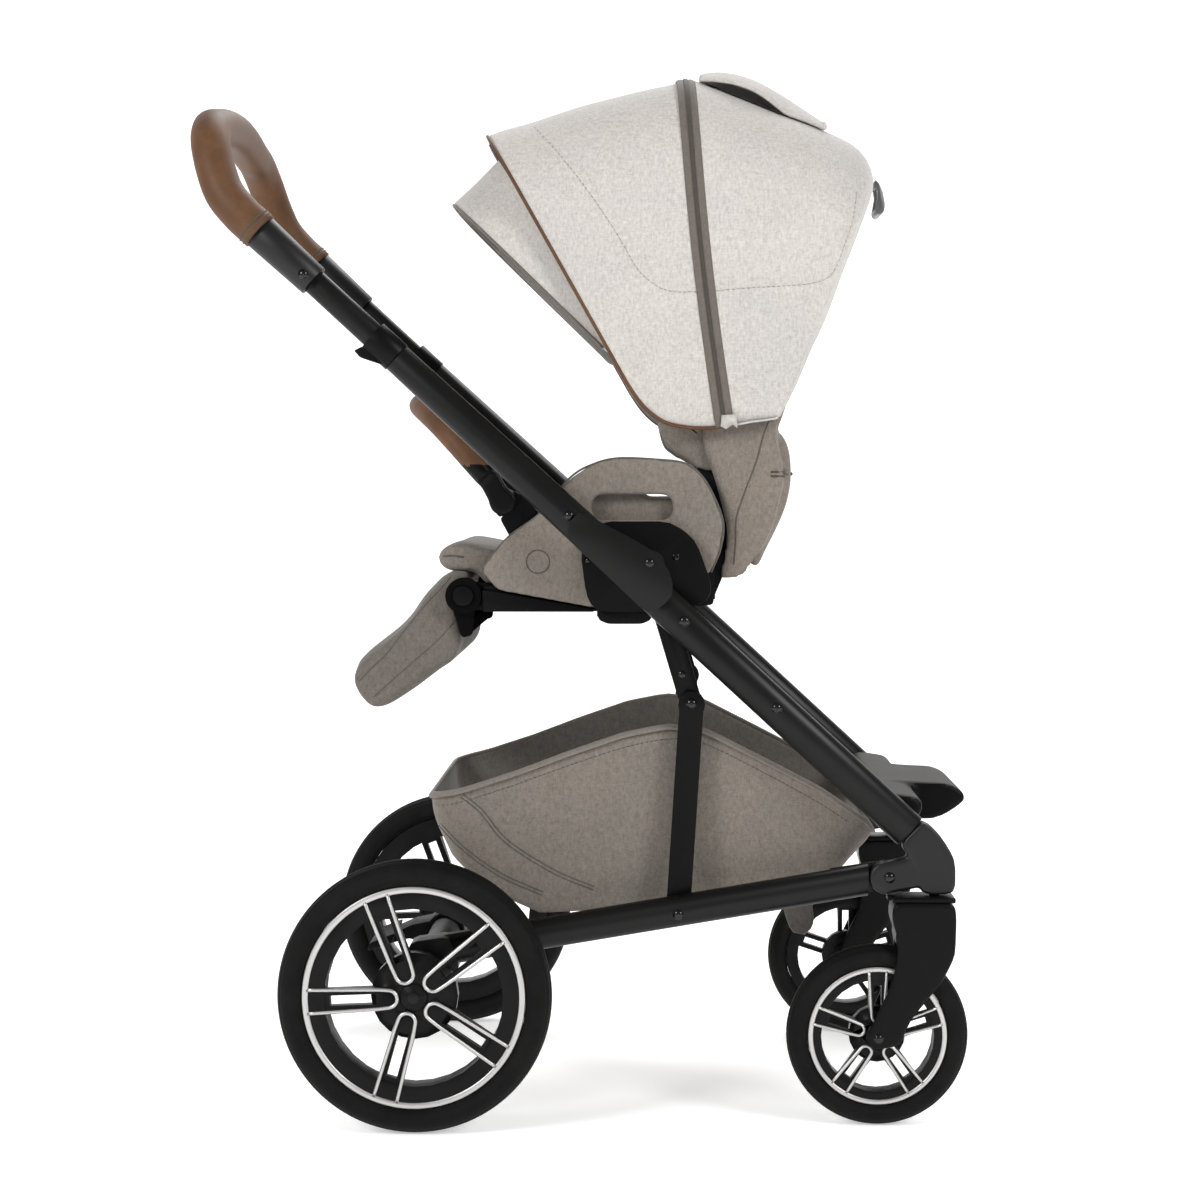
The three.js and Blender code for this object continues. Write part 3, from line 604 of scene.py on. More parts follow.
def finish_cad_parts():
    paired = {
        FRAME_BLACK: ("lower_tube", "base_rail", "upper_tube", "handle_tube"),
        COVER_BLACK: ("handle_cap",),
        PLASTIC: ("seat_socket", "swivel_lock", "seat_latch", "calf_button"),
        SOFT_PLASTIC: ("strut_lower", "strut_upper", "fold_trigger"),
        WHEEL_BLACK: ("rear_rim", "front_rim"),
    }
    single = {
        FRAME_BLACK: ("rear_axle",),
        PLASTIC: ("brake_pedal", "handle_button", "seat_frame", "harness_buckle", "canopy_bow_front",
                  "canopy_bow_mid"),
        BUTTON_GREY: ("buckle_button",),
        MATT_PLASTIC: ("calf_frame",),
        STEEL: ("recline_handle",),
    }
    for material, names in paired.items():
        for name in names:
            for side, _ in SIDES:
                finish_cad(f"{name}_{side}", material)
    for material, names in single.items():
        for name in names:
            finish_cad(name, material)


def build_footplate():
    """The crossbar between the front tubes with its brown tread; the rest of it is black."""
    half, tread_half, bar_radius = 209, 88, 15
    round_bar = [(519 + bar_radius * c, 330 + bar_radius * s) for c, s in circle(16)]
    tread = [(497, 349.5), (560, 349.5), (583, 347), (598, 337), (596, 326), (560, 308), (505, 320)]
    wing = [(495, 349), (532, 348), (540, 336), (526, 316), (504, 318)]
    slabs = [(round_bar, -half, half), (tread, -tread_half, tread_half), (wing, -half, half)]
    plate = soft_slabs("footplate", slabs, 0.003, 5, TREAD_BROWN)
    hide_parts("front_crossbar")
    plate.data.materials.append(PLASTIC)
    for face in plate.data.polygons:
        face.material_index = 0 if face.normal.z > 0.55 else 1
    attach(plate, "chassis")


def build_moulded_parts():
    """The elbows and forks, whose real shapes have no sharp edges."""
    for side, sign in SIDES:
        moulded_pair = (
            ("front_knuckle", "chassis", 7, COVER_BLACK),
            ("caster_fork", f"caster_{side}", 4, SOFT_PLASTIC),
        )
        for node, body, rounds, material in moulded_pair:
            made = soft_copy(f"moulded_{node}_{side}", f"{node}_{side}", 0.002, rounds, material)
            attach(made, body)
        collar = [(504, 240.4), (504, 246.2), (571, 246.2), (571, 240.4)]
        ring = prism(f"caster_collar_{side}", collar, sign * 229 - 23, sign * 229 + 23, SOFT_PLASTIC)
        ease = ring.modifiers.new("ease", "BEVEL")
        ease.width = 0.002
        ease.segments = 3
        attach(bake(ring), f"caster_{side}")


# ---------------------------------------------------------------- wheels
WHEELS = {
    "rear": {"x": 0, "y": 275, "radius": 145, "rim": 117.7, "half": 22.5, "ring": 114.4, "line": 4.3,
             "spoke": 25.0, "inner": 17.0, "first": 38.4},
    "front": {"x": 490, "y": 229, "radius": 96.7, "rim": 74.0, "half": 18.0, "ring": 71.3, "line": 3.5,
              "spoke": 19.0, "inner": 15.0, "first": 18.0},
}


def wheel_tyre(name, wheel, centre):
    """A rounded tyre with a bead line on each wall and shallow grooves round its tread."""
    seat, top, half = wheel["rim"] + 0.3, wheel["radius"], wheel["half"]
    wall = []
    for turn in np.linspace(-118, 118, 49):
        angle = math.radians(turn)
        middle = (seat + top) / 2 - 1.5
        reach = top - middle
        r = middle + reach * math.cos(angle)
        across = half * math.sin(angle) * (1.0 if abs(turn) < 90 else 0.99)
        if 16 < abs(turn) < 20 or 44 < abs(turn) < 48:
            r -= 0.9 * math.cos(angle)
            across -= math.copysign(0.9 * abs(math.sin(angle)), across)
        wall.append((max(r, seat), across))
    profile = [(seat, -half * 0.62)] + wall + [(seat, half * 0.62)]
    return lathe(name, profile, centre, RUBBER, 128)


def wheel_lines(name, wheel, centre, outward):
    """The bare metal edges: a ring at the rim and a U along each twin spoke."""
    face = outward * (wheel["half"] * 0.66 + 0.25)
    thick = wheel["line"]
    ring = wheel["ring"]
    section = ((-0.8, -2.0), (-0.8, 0), (-0.5, 0.7), (0.5, 0.7), (0.8, 0), (0.8, -2.0))
    band = [(ring + thick * wide, face + outward * high) for wide, high in section]
    parts = [lathe(name, band, centre, SILVER, 128)]
    half_in, half_out = wheel["spoke"] / 2 - 3.2, wheel["spoke"] / 2
    bend_from = wheel["inner"] + half_in
    tip = math.sqrt((ring - thick * 0.4) ** 2 - half_out**2)
    shape = [(tip, half_out), (bend_from + 10, half_in + 0.8)]
    for bend in np.linspace(math.pi / 2, 3 * math.pi / 2, 9):
        shape.append((bend_from + half_in * math.cos(bend), half_in * math.sin(bend)))
    shape += [(bend_from + 10, -half_in - 0.8), (tip, -half_out)]
    for i in range(5):
        turn = math.radians(wheel["first"] + 72 * i)
        path = []
        for along, aside in with_steps(shape):
            x = along * math.cos(turn) - aside * math.sin(turn)
            z = along * math.sin(turn) + aside * math.cos(turn)
            path.append(centre + Vector((x, face - outward * 0.6, z)) / 1000)
        parts.append(tube(name, path, thick / 2000, SILVER, sides=8))
    return joined(name, parts)


def with_steps(shape):
    """Straight legs with evenly spaced points between the given ones."""
    dense = []
    for (ax, ay), (bx, by) in zip(shape, shape[1:]):
        steps = max(1, int(math.hypot(bx - ax, by - ay) / 6))
        for k in range(steps):
            dense.append((ax + (bx - ax) * k / steps, ay + (by - ay) * k / steps))
    dense.append(shape[-1])
    return dense


def hub_cap(name, wheel, centre, outward):
    """A shallow cap with a raised ring on the hub."""
    out = wheel["half"] * 0.5
    size = wheel["inner"] - 2
    profile = [(0.01, out + 3.2), (size * 0.55, out + 3.2), (size * 0.62, out + 2.2), (size * 0.9, out + 2.0),
               (size, out + 0.6), (size, out - 1), (0.01, out - 1)]
    return lathe(name, [(r, outward * across) for r, across in profile], centre, WHEEL_BLACK, 48)


def build_wheels():
    for end, wheel in WHEELS.items():
        for side, sign in SIDES:
            centre = mm(wheel["x"], sign * wheel["y"], wheel["radius"])
            body = f"{end}_wheel_{side}"
            tyre = wheel_tyre(f"tyre_{end}_{side}", wheel, centre)
            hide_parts(f"{end}_tyre_{side}")
            attach(tyre, body)
            lines = wheel_lines(f"rim_edges_{end}_{side}", wheel, centre, sign)
            attach(lines, body)
            cap = hub_cap(f"hub_cap_{end}_{side}", wheel, centre, sign)
            attach(cap, body)


# ---------------------------------------------------------------- screws and seams on the frame
def screw(name, x, z, face, sign, radius, body):
    """A glossy domed screw head on a thin washer."""
    rise, washer = 2.6, 1.2
    dome = np.linspace(0.01, math.pi / 2, 8)
    profile = [(radius * math.sin(t), face + sign * rise * math.cos(t)) for t in dome]
    profile += [(radius + 0.9, face), (radius + 0.9, face - sign * washer), (0.01, face - sign * washer)]
    made = lathe(name, profile, mm(x, 0, z), SCREW, 32)
    attach(made, body)


def build_screws():
    tube_face, cover_face = 238.0, 242.3
    on_side = [
        ("upper_frame", 162, 650, tube_face, 4.6),
        ("upper_frame", 189, 624, tube_face, 4.6),
        ("upper_frame", 247, 600, cover_face, 5.0),
        ("chassis", 284, 538, tube_face, 5.0),
        ("chassis", 382, 446, tube_face, 5.0),
        ("rear_frame", 278, 225, tube_face, 5.0),
        ("chassis", 502, 266, 239.6, 5.0),
        ("handle", -118, 904, 242.2, 4.6),
    ]
    plug_face = 197.0
    for side, sign in SIDES:
        screw(f"socket_screw_{side}", 180.5, 601, sign * plug_face, sign, 3.2, "chassis")
        plug = [(0.01, plug_face + 0.5), (3.4, plug_face + 0.5), (4.2, plug_face), (0.01, plug_face)]
        made = lathe(f"socket_plug_{side}", [(r, sign * y) for r, y in plug], mm(275, 0, 605), SCREW, 32)
        attach(made, "chassis")
        for i, (body, x, z, face, radius) in enumerate(on_side):
            screw(f"screw_{body}_{i}_{side}", x, z, sign * face, sign, radius, body)
        screw(f"screw_strut_top_{side}", 282, 479, sign * 202.4, sign, 4.6, f"strut_upper_{side}")
        screw(f"screw_strut_elbow_{side}", 292, 448, sign * 210.2, sign, 5.2, f"strut_lower_{side}")
        screw(f"screw_front_axle_{side}", 490, 96.7, sign * 255.2, sign, 4.6, f"caster_{side}")


# ---------------------------------------------------------------- handle and arm bar
def build_handle():
    """The wrapped grip, cut out round its button, with two rows of stitches at each end."""
    half = [(-165.8, 225, 950.3), (-173, 224.8, 957), (-186.5, 224, 969.5), (-204, 218, 990.5),
            (-215, 208, 1016), (-224, 190, 1047), (-228.5, 158, 1066), (-230, 120, 1073), (-230, 60, 1081),
            (-230, 0, 1084)]
    whole = half + [(x, -y, z) for x, y, z in half[-2::-1]]
    path = [mm(*point) for point in curve_through(whole, 150)]
    grip = tube("handle_leather", path, 0.0212, LEATHER, sides=36)
    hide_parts("handle_grip")
    hole = [(-270, 1077.2), (-230.5, 1077.2), (-230.5, 1090.8), (-270, 1090.8)]
    pocket = prism("pocket", hole, -19.6, 19.6, LEATHER)
    cut = grip.modifiers.new("pocket", "BOOLEAN")
    cut.object = pocket
    bake(grip)
    bpy.data.objects.remove(pocket)
    surface = surface_of(grip)
    attach(grip, "handle")
    along = Vector((-0.735, 0, 0.678))
    for side, sign in SIDES:
        end = mm(half[0][0], sign * half[0][1], half[0][2])
        for i, step in enumerate((0.0050, 0.0095)):
            ring = loop_round(surface, end + along * step, along)
            line = tube(f"grip_seam_{i}_{side}", ring, 0.0007, THREAD_DARK, sides=6, closed=True)
            attach(line, "handle")


def loop_round(surface, middle, along):
    """A closed loop on a surface, in the plane through middle square to along."""
    along = along.normalized()
    side = along.cross(Vector((0, 1, 0))).normalized()
    other = along.cross(side)
    loop = []
    for c, s in circle(40):
        out = side * c + other * s
        hit, _, _, _ = surface.ray_cast(middle, out)
        if hit is not None:
            loop.append(hit + out * 0.0002)
    return loop


def build_arm_bar():
    """Leather on the grip, black plastic on the two hinged ends."""
    bar = soft_copy("arm_bar_cover", "arm_bar", 0.0028, 4, LEATHER, SOFT_PLASTIC)
    low_end = mm(0, 0, 703).z
    for face in bar.data.polygons:
        face.material_index = 1 if face.center.z < low_end else 0
    attach(bar, "arm_bar")


# ---------------------------------------------------------------- canopy
CANOPY_HALF = 183.4
HOOD_MIDDLE = mm(320, 0, 850)
CROWN_TO_HEM_FRONT = [
    ((64, 1072), (222, 792)),
    ((82, 1079), (234, 774)),
    ((104, 1086), (247, 760)),
    ((140, 1098), (264, 749)),
    ((180, 1110), (286, 744)),
    ((232, 1123), (308, 743)),
    ((284, 1132), (327, 745)),
]
CROWN_TO_HEM_REAR = [
    ((286, 1132.6), (328, 745)),
    ((298, 1132), (334, 746)),
    ((328, 1121), (340, 747)),
    ((360, 1109), (346, 748)),
    ((400, 1094), (351, 749)),
    ((437, 1079), (356, 750)),
    ((474, 1062), (361, 750.6)),
    ((491, 1042), (365, 751)),
    ((496, 1017), (369, 751.5)),
    ((483, 976), (373, 752)),
    ((464, 926), (376, 752.6)),
    ((446, 876), (379, 753)),
    ((430, 842), (381, 753.4)),
    ((412, 800), (383, 754)),
    ((390, 758), (385, 754.5)),
]
VISOR_CROWN_TO_HEM = [
    ((25, 996), (196, 830)),
    ((29, 1003), (198, 828)),
    ((54, 1028), (206, 822)),
    ((86, 1058), (218, 812)),
]

FRONT_STITCH = [(120, 1073), (148, 1039), (179, 999), (211, 952), (232, 916), (249, 899), (268, 890),
                (299, 889)]
REAR_STITCH = [(318, 890), (350, 893), (384, 895), (420, 898), (442, 908), (455, 938), (464, 965),
               (470, 1000)]


def arch(crown, hem, half, bow, count=34):
    """Points from the left hem over the crown to the right hem; bow bends the sides back."""
    crown, hem = np.array(crown, float), np.array(hem, float)
    rise = crown - hem
    reach = np.linalg.norm(rise)
    corner = min(130.0, reach * 0.8)
    profile = [(half, t * (reach - corner)) for t in np.linspace(0, 1, 12, endpoint=False)]
    for turn in np.linspace(0, math.pi / 2, 26):
        profile.append((half * math.cos(turn) ** 0.62, reach - corner + corner * math.sin(turn) ** 0.8))
    points = []
    for y, along in even_spacing(profile, count):
        share = along / reach
        x, z = hem + rise * share
        points.append((x - bow * math.sin(math.pi * share), y, z))
    return points + [(x, -y, z) for x, y, z in points[-2::-1]]


def hood_rows(pairs, columns, half, bow):
    """Arches through pairs of a crown point and a hem point, smoothly spaced."""
    line = curve_through([(*crown, *hem) for crown, hem in pairs], columns)
    shares = np.linspace(0, 1, columns)
    return [arch(ends[:2], ends[2:], half, bow(share)) for ends, share in zip(line, shares)]


def sag_between(rows, depth, seed, ripple):
    """Pulls the cloth in between its hoops and adds slack ripples."""
    columns = len(rows)
    grid = np.array(rows)
    centre = np.array([330.0, 0.0, 800.0])
    out = []
    for i, row in enumerate(grid):
        share = i / (columns - 1)
        pull = math.sin(math.pi * share) ** 0.8
        line = []
        for j, point in enumerate(row):
            inward = centre - point
            inward[0] *= 0.3
            inward /= np.linalg.norm(inward)
            across = 1 - abs(2 * j / (len(row) - 1) - 1)
            ends = min(1.0, across * 6)
            slack = (wave(point / 1000, 0.11, seed) + wave(point / 1000, 0.045, seed + 5) * 0.35) * ripple
            edge = min(1.0, share * 8, (1 - share) * 8)
            line.append(point + inward * (depth * pull * (0.35 + 0.65 * ends) + slack * edge))
        out.append(line)
    return out


def in_metres(rows):
    return [[mm(*point) for point in row] for row in rows]


def build_canopy():
    front_rows = hood_rows(CROWN_TO_HEM_FRONT, 30, CANOPY_HALF, lambda s: 5.0 * s)
    front_rows = in_metres(sag_between(front_rows, 2.5, 3.0, 2.2))
    front = grid_object("canopy_front_cloth", front_rows, FELT, LINING)
    rear_rows = hood_rows(CROWN_TO_HEM_REAR, 44, CANOPY_HALF, lambda s: 5.0 * (1 - s) ** 2)
    rear_rows = in_metres(sag_between(rear_rows, 1.5, 9.0, 3.4))
    rear = grid_object("canopy_rear_cloth", rear_rows, FELT, LINING)
    for cloth in (front, rear):
        face_away(cloth, HOOD_MIDDLE)
    surfaces = {"front": surface_of(front), "rear": surface_of(rear)}
    extras = {"front": [], "rear": []}
    hem_left = [row[0] for row in front_rows]
    hem_right = [row[-1] for row in front_rows]
    piping_path = even_spacing(hem_left[::-1] + front_rows[0][1:-1] + hem_right, 260)
    extras["front"].append(tube("canopy_piping", piping_path, 0.0019, LEATHER, sides=8))
    for end, line in (("front", FRONT_STITCH), ("rear", REAR_STITCH)):
        extras[end].append(both_sides(f"canopy_stitch_{end}", surfaces[end], line, stitches, THREAD_LIGHT))
    hem_path = even_spacing([row[0] for row in rear_rows[3:]], 40)
    mirrored = [(x, -y, z) for x, y, z in hem_path]
    extras["rear"].append(tube("canopy_hem_left", hem_path, 0.0012, FELT, sides=8))
    extras["rear"].append(tube("canopy_hem_right", mirrored, 0.0012, FELT, sides=8))
    strip = canopy_strip(front_rows, rear_rows)
    window = canopy_window(surfaces["rear"])
    flap, trim = canopy_flap(surfaces["rear"])
    add_thickness(front, 0.0022, 1)
    add_thickness(rear, 0.0022, 1)
    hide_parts("canopy_front")
    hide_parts("canopy_rear")
    for piece in [front, *extras["front"]]:
        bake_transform(piece)
    for piece in [rear, *extras["rear"], window]:
        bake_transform(piece)
    attach(strip, "canopy_mid")
    for piece in (flap, trim):
        attach(piece, "canopy_flap")
    build_visor()


def both_sides(name, surface, points, make, *details):
    """Makes the same seam or row of stitches on the left and on the right and joins the two."""
    parts = []
    for side, sign in SIDES:
        placed = [mm(x, sign * 260, z) for x, z in points]
        parts.append(make(f"{name}_{side}", surface, placed, (0, -sign, 0), *details))
    return joined(name, parts)


def double_row(points, apart):
    """Two lines side by side, apart millimetres from each other."""
    lines = []
    for offset in (-apart / 2, apart / 2):
        line = []
        for i, (x, z) in enumerate(points):
            ax, az = points[max(i - 1, 0)]
            bx, bz = points[min(i + 1, len(points) - 1)]
            length = math.hypot(bx - ax, bz - az)
            line.append((x - (bz - az) / length * offset, z + (bx - ax) / length * offset))
        lines.append(line)
    return lines


def canopy_strip(front_rows, rear_rows):
    """The covered zip between the two halves of the hood."""
    seam_line = [(a + b) / 2 for a, b in zip(front_rows[-1], rear_rows[0])]
    heights = [0.4, 2.2, 2.6, 1.6, 1.6, 1.6, 2.6, 2.2, 0.4]
    rows, teeth = [], []
    count = len(seam_line)
    for i, here in enumerate(seam_line):
        along = (seam_line[min(i + 1, count - 1)] - seam_line[max(i - 1, 0)]).normalized()
        out = here - HOOD_MIDDLE
        out = out - along * out.dot(along)
        out.x *= 0.1
        out.normalize()
        aside = along.cross(out).normalized()
        rows.append([here + aside * ((k - 4) * 0.0026) + out * (h / 1000) for k, h in enumerate(heights)])
        teeth.append(here + out * 0.0020)
    strip = grid_object("canopy_zip_strip", rows, TAPE)
    face_away(strip, HOOD_MIDDLE)
    subdivide(strip)
    add_thickness(strip, 0.0012)
    chain = tube("canopy_zip_teeth", teeth, 0.0011, DARK_TAPE, sides=8, flatten=2.3)
    parts = [strip, chain]
    for _, sign in SIDES:
        outline = [(324, 757), (340, 758), (341, 743), (336, 747), (329, 742), (323, 745)]
        parts.append(prism("canopy_tab", outline, sign * 184.6, sign * 188.2, FELT))
    return joined("canopy_zip_strip", parts)


def laid_rows(surface, start, end, half, rows, columns, gap):
    """Rows of points dropped on the hood from above, each lifted off it by gap(share, x, y)."""
    made = []
    for share in np.linspace(0, 1, rows):
        x = start + (end - start) * share
        line = []
        for y in np.linspace(-half, half, columns):
            point, normal = drop_on(surface, mm(x, y, 1400), (0, 0, -1))
            line.append(point + normal * (gap(share, x, y) / 1000))
        made.append(line)
    return made


def canopy_window(surface):
    """Dark mesh under the flap."""
    rows = laid_rows(surface, 308, 434, 96, 22, 25, lambda share, x, y: 1.5)
    window = grid_object("canopy_window_mesh", rows, BLACK_MESH_AND_SHADE)
    face_away(window, HOOD_MIDDLE)
    return add_thickness(window, 0.0008)


def canopy_flap(surface):
    """The cover of the mesh window. It stands off the hood a little, most at its free end."""
    half = 106

    def gap(share, x, y):
        crown = 10.0 + 17.0 * math.sin(math.pi * share**0.75)
        edge = 4.0 + 12.0 * math.sin(math.pi * min(1.0, share / 0.7))
        ripple = wave((x / 1000, y / 1000, 0.3), 0.05, 2.0) * 0.8
        return crown + (edge - crown) * (abs(y) / half) ** 3 + ripple

    rows = laid_rows(surface, 299, 437, half, 26, 30, gap)
    flap = grid_object("canopy_flap_cloth", rows, FELT, LINING)
    face_away(flap, HOOD_MIDDLE)
    hem = [row[0] for row in rows] + rows[-1][1:-1] + [row[-1] for row in rows[::-1]]
    trim = tube("canopy_flap_hem", even_spacing(hem, 140), 0.0020, FELT, sides=8)
    add_thickness(flap, 0.0024, 1)
    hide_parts("canopy_flap")
    return flap, trim


def build_visor():
    rows = hood_rows(VISOR_CROWN_TO_HEM, 18, 171, lambda share: 0.0)
    rows = in_metres(sag_between(rows, 2.0, 14.0, 1.4))
    visor = grid_object("canopy_visor_cloth", rows, FELT, LINING)
    face_away(visor, HOOD_MIDDLE)
    trim = tube("canopy_visor_trim", even_spacing(rows[0], 150), 0.0017, TAPE, sides=8)
    add_thickness(visor, 0.002, 1)
    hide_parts("canopy_visor")
    attach(visor, "canopy_visor")
    attach(trim, "canopy_visor")


# ---------------------------------------------------------------- seat
def build_seat():
    """The cushion with its rolled front."""
    cushion = soft_copy("seat_pad", "seat_cushion", 0.0045, 4, LINEN)
    swell(cushion, 0.0025)
    subdivide(cushion)
    roll_end = surface_of(cushion)
    attach_padded(cushion, "seat")
    pinch = [(17, 603), (30, 605), (44, 603)]
    made = both_sides("seat_roll_seam", roll_end, pinch, seam, DARK_LINEN, 0.0012)
    attach(made, "seat")


def build_wings():
    """The padded wings with their embossed ring and piping, and the lining inside them."""
    lining = [(112, 604), (150, 642), (178, 667), (200, 676), (234, 676), (244, 668), (276, 667),
              (298, 652), (306, 606), (200, 590)]
    wing_line = [(66, 591), (92, 624), (129, 652), (161, 690), (187, 705), (214, 711), (255, 709.5),
                 (283, 706), (300, 695), (314, 674), (326, 642), (323, 613), (313, 588)]
    for side, sign in SIDES:
        wing = soft_copy(f"wing_{side}", f"side_panel_{side}", 0.0026, 4, LINEN)
        surface = surface_of(wing)
        attach_padded(wing, "seat")
        inside = soft_slabs(f"wing_lining_{side}", [slab(lining, sign, 159, 166.5)], 0.003, 4, LINEN)
        attach_padded(inside, "seat")
        around = [mm(126 + 12.5 * c, sign * 260, 599 + 12.5 * s) for c, s in circle(48)]
        ring = [drop_on(surface, point, (0, -sign, 0))[0] for point in around]
        # Painted shade: the ring's groove drawn as a thin dark cord.
        mark = tube(f"wing_ring_{side}", ring, 0.0008, SEAM_SHADE_LINEN, sides=8, closed=True)
        attach(mark, "seat")
        edge = [mm(x, sign * 180.4, z) for x, z in curve_through(wing_line, 110)]
        piping = tube(f"wing_edge_{side}", edge, 0.0012, DARK_LINEN, sides=8)
        attach(piping, "seat")


def build_backrest():
    """The cloth cover with its side bolsters and rear pocket, and the pad inside."""
    above_hinge = [(378, 632), (388, 668), (392, 694), (385, 728), (382, 752), (345, 762), (309, 750),
                   (305, 726), (318, 686), (330, 640)]
    bolster = [(334, 614), (362, 608), *above_hinge]
    skin = [(327, 606), (322, 580), (340, 581), (352, 588), *above_hinge]
    pocket = [(362, 592), (374, 612), (394, 655), (401, 690), (397, 726), (382, 740), (366, 700), (352, 620)]
    low_board = [(338, 600), (352, 602), (380, 655), (386, 692), (382, 740), (378, 760), (352, 745),
                 (336, 640)]
    high_board = [(370, 742), (386, 742), (406, 797), (436, 865), (470, 962), (474, 990), (462, 992),
                  (452, 962), (421, 868), (392, 803)]
    slabs = [(low_board, -150, 150), (high_board, -126, 126), (pocket, -146, 146)]
    for _, sign in SIDES:
        slabs.append(slab(bolster, sign, 147, 166))
        slabs.append(slab(skin, sign, 160.6, 166))
    shell = soft_slabs("backrest_cover", slabs, 0.0034, 4, LINEN)
    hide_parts("back_shell")
    surface = surface_of(shell)
    attach_padded(shell, "backrest")
    pad = soft_copy("backrest_pad", "back_pad", 0.0055, 4, LINEN)
    swell(pad, 0.005)
    subdivide(pad)
    attach_padded(pad, "backrest")
    side_line = [(376, 752), (369, 733), (362, 707), (350, 675), (341, 647), (340, 619), (338, 596)]
    # Painted shade: the seam's groove drawn as a dark cord.
    made = both_sides("backrest_side_seam", surface, side_line, seam, SEAM_SHADE_LINEN, 0.0009)
    attach(made, "backrest")
    for i, height in enumerate((696, 691.5)):
        line = [(378, height), (388, height), (397, height)]
        made = both_sides(f"pocket_zip_{i}", surface, line, seam, DARK_TAPE, 0.0013)
        attach(made, "backrest")
    back_line = [surface.ray_cast(mm(520, y, 694), Vector((-1, 0, 0)))[0] for y in np.linspace(-138, 138, 30)]
    zip_across = tube("pocket_zip_back", back_line, 0.0022, DARK_TAPE, sides=8)
    attach(zip_across, "backrest")


def build_backrest_folds():
    """Webs beside the pad, black as painted shade in the gap there, and the crumpled cloth folds below the
    hood.
    """
    inner = [(304, 604), (334, 600), (346, 660), (340, 748), (292, 748), (300, 690), (312, 650)]
    for side, sign in SIDES:
        # Painted shade: the web is black to stand for the shadow gap between wing and backrest.
        web = soft_slabs(f"backrest_shade_web_{side}", [slab(inner, sign, 124, 145)], 0.004, 3, BLACK_MESH_AND_SHADE)
        attach_padded(web, "backrest")
    gusset = [(258, 752), (306, 758), (330, 730), (326, 704), (312, 698), (297, 702), (286, 711),
              (276, 714), (263, 728)]
    for side, sign in SIDES:
        fold = soft_slabs(f"gusset_{side}", [slab(gusset, sign, 141, 156)], 0.003, 5, LINEN)
        crumple(fold, 0.0022, 0.016, 4.0)
        attach_padded(fold, "backrest")


def strap(name, points, width, body, material, up):
    """A flat strap along points given as (x, y, z) in millimetres; up is what its flat side faces."""
    path = [mm(*point) for point in curve_through(points, 60)]
    half_thickness = 1.1
    made = tube(name, path, half_thickness / 1000, material, flatten=width / (2 * half_thickness), up=up)
    attach(made, body)


def build_harness():
    """Shoulder straps with their pads on the backrest, and waist straps to the buckle."""
    for side, sign in SIDES:
        down = [(398, sign * 48, 872), (385, sign * 50, 846), (366, sign * 54, 800), (338, sign * 56, 730),
                (316, sign * 57, 672), (301, sign * 58, 632), (291, sign * 58, 621)]
        strap(f"shoulder_strap_{side}", down, 25, "backrest", STRAP, (1, 0, 0))
        pad = [(x - 3.5, y, z + 1) for x, y, z in down[1:5]]
        strap(f"shoulder_pad_{side}", pad, 46, "backrest", LINEN, (1, 0, 0))
        waist = [(286, sign * 104, 613), (262, sign * 96, 622), (226, sign * 66, 640), (190, sign * 36, 652),
                 (170, sign * 27, 655)]
        strap(f"waist_strap_{side}", waist, 25, "seat", STRAP, (0, 0, 1))


def build_calf_rest():
    """A deep pad whose cloth wraps round the hinge at its top."""
    outline = [(17, 576), (29, 588), (45, 590), (53, 585), (54, 580), (46, 579), (36, 568), (35, 545),
               (40, 514), (32, 494), (15, 482), (-17, 458), (-50, 439), (-66, 446), (-79, 472), (-62, 496),
               (-21, 530), (2, 560)]
    # Painted shade: the pad gets the darker copy of the linen.
    pad = soft_slabs("calf_cushion", [(outline, -165, 165)], 0.0045, 5, CALF_LINEN_SHADED)
    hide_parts("calf_pad")
    swell(pad, 0.0025)
    subdivide(pad)
    surface = surface_of(pad)
    attach_padded(pad, "calf_rest")
    seams = [
        [(30, 582), (19, 569), (2, 551), (-20, 524), (-41, 497), (-58, 481), (-70, 468)],
        [(33, 532), (16, 513), (-10, 490), (-34, 469), (-54, 451)],
    ]
    for i, points in enumerate(seams):
        # Painted shade: each seam's groove drawn as a dark cord.
        made = both_sides(f"calf_seam_{i}", surface, points, seam, SEAM_SHADE_LINEN, 0.0008)
        attach(made, "calf_rest")


# ---------------------------------------------------------------- basket
BASKET_RIM = [(8, 344), (18, 346), (46, 352), (104, 371), (162, 393), (220, 413), (266, 422), (308, 417),
              (373, 384), (431, 354), (480, 320), (491, 306)]
BASKET_FLOOR = [(28, 279), (60, 252), (96, 230), (128, 216), (200, 220), (300, 233), (400, 246), (440, 254),
                (466, 274)]


def basket_loop(line, half, corner, count):
    """A closed loop seen from above as a rounded rectangle, with its height from the side line."""
    line = np.array(line, float)
    x0, x1 = line[0, 0], line[-1, 0]
    corners = [(x1 - corner, half - corner, 0), (x0 + corner, half - corner, 90),
               (x0 + corner, -half + corner, 180), (x1 - corner, -half + corner, 270)]
    outline = []
    for cx, cy, first in corners:
        for turn in np.linspace(first, first + 90, 10):
            angle = math.radians(turn)
            outline.append((cx + corner * math.cos(angle), cy + corner * math.sin(angle)))
    outline.append(outline[0])
    even = even_spacing(outline, count + 1)[:-1]
    return [(x, y, float(np.interp(x, line[:, 0], line[:, 1]))) for x, y in even]


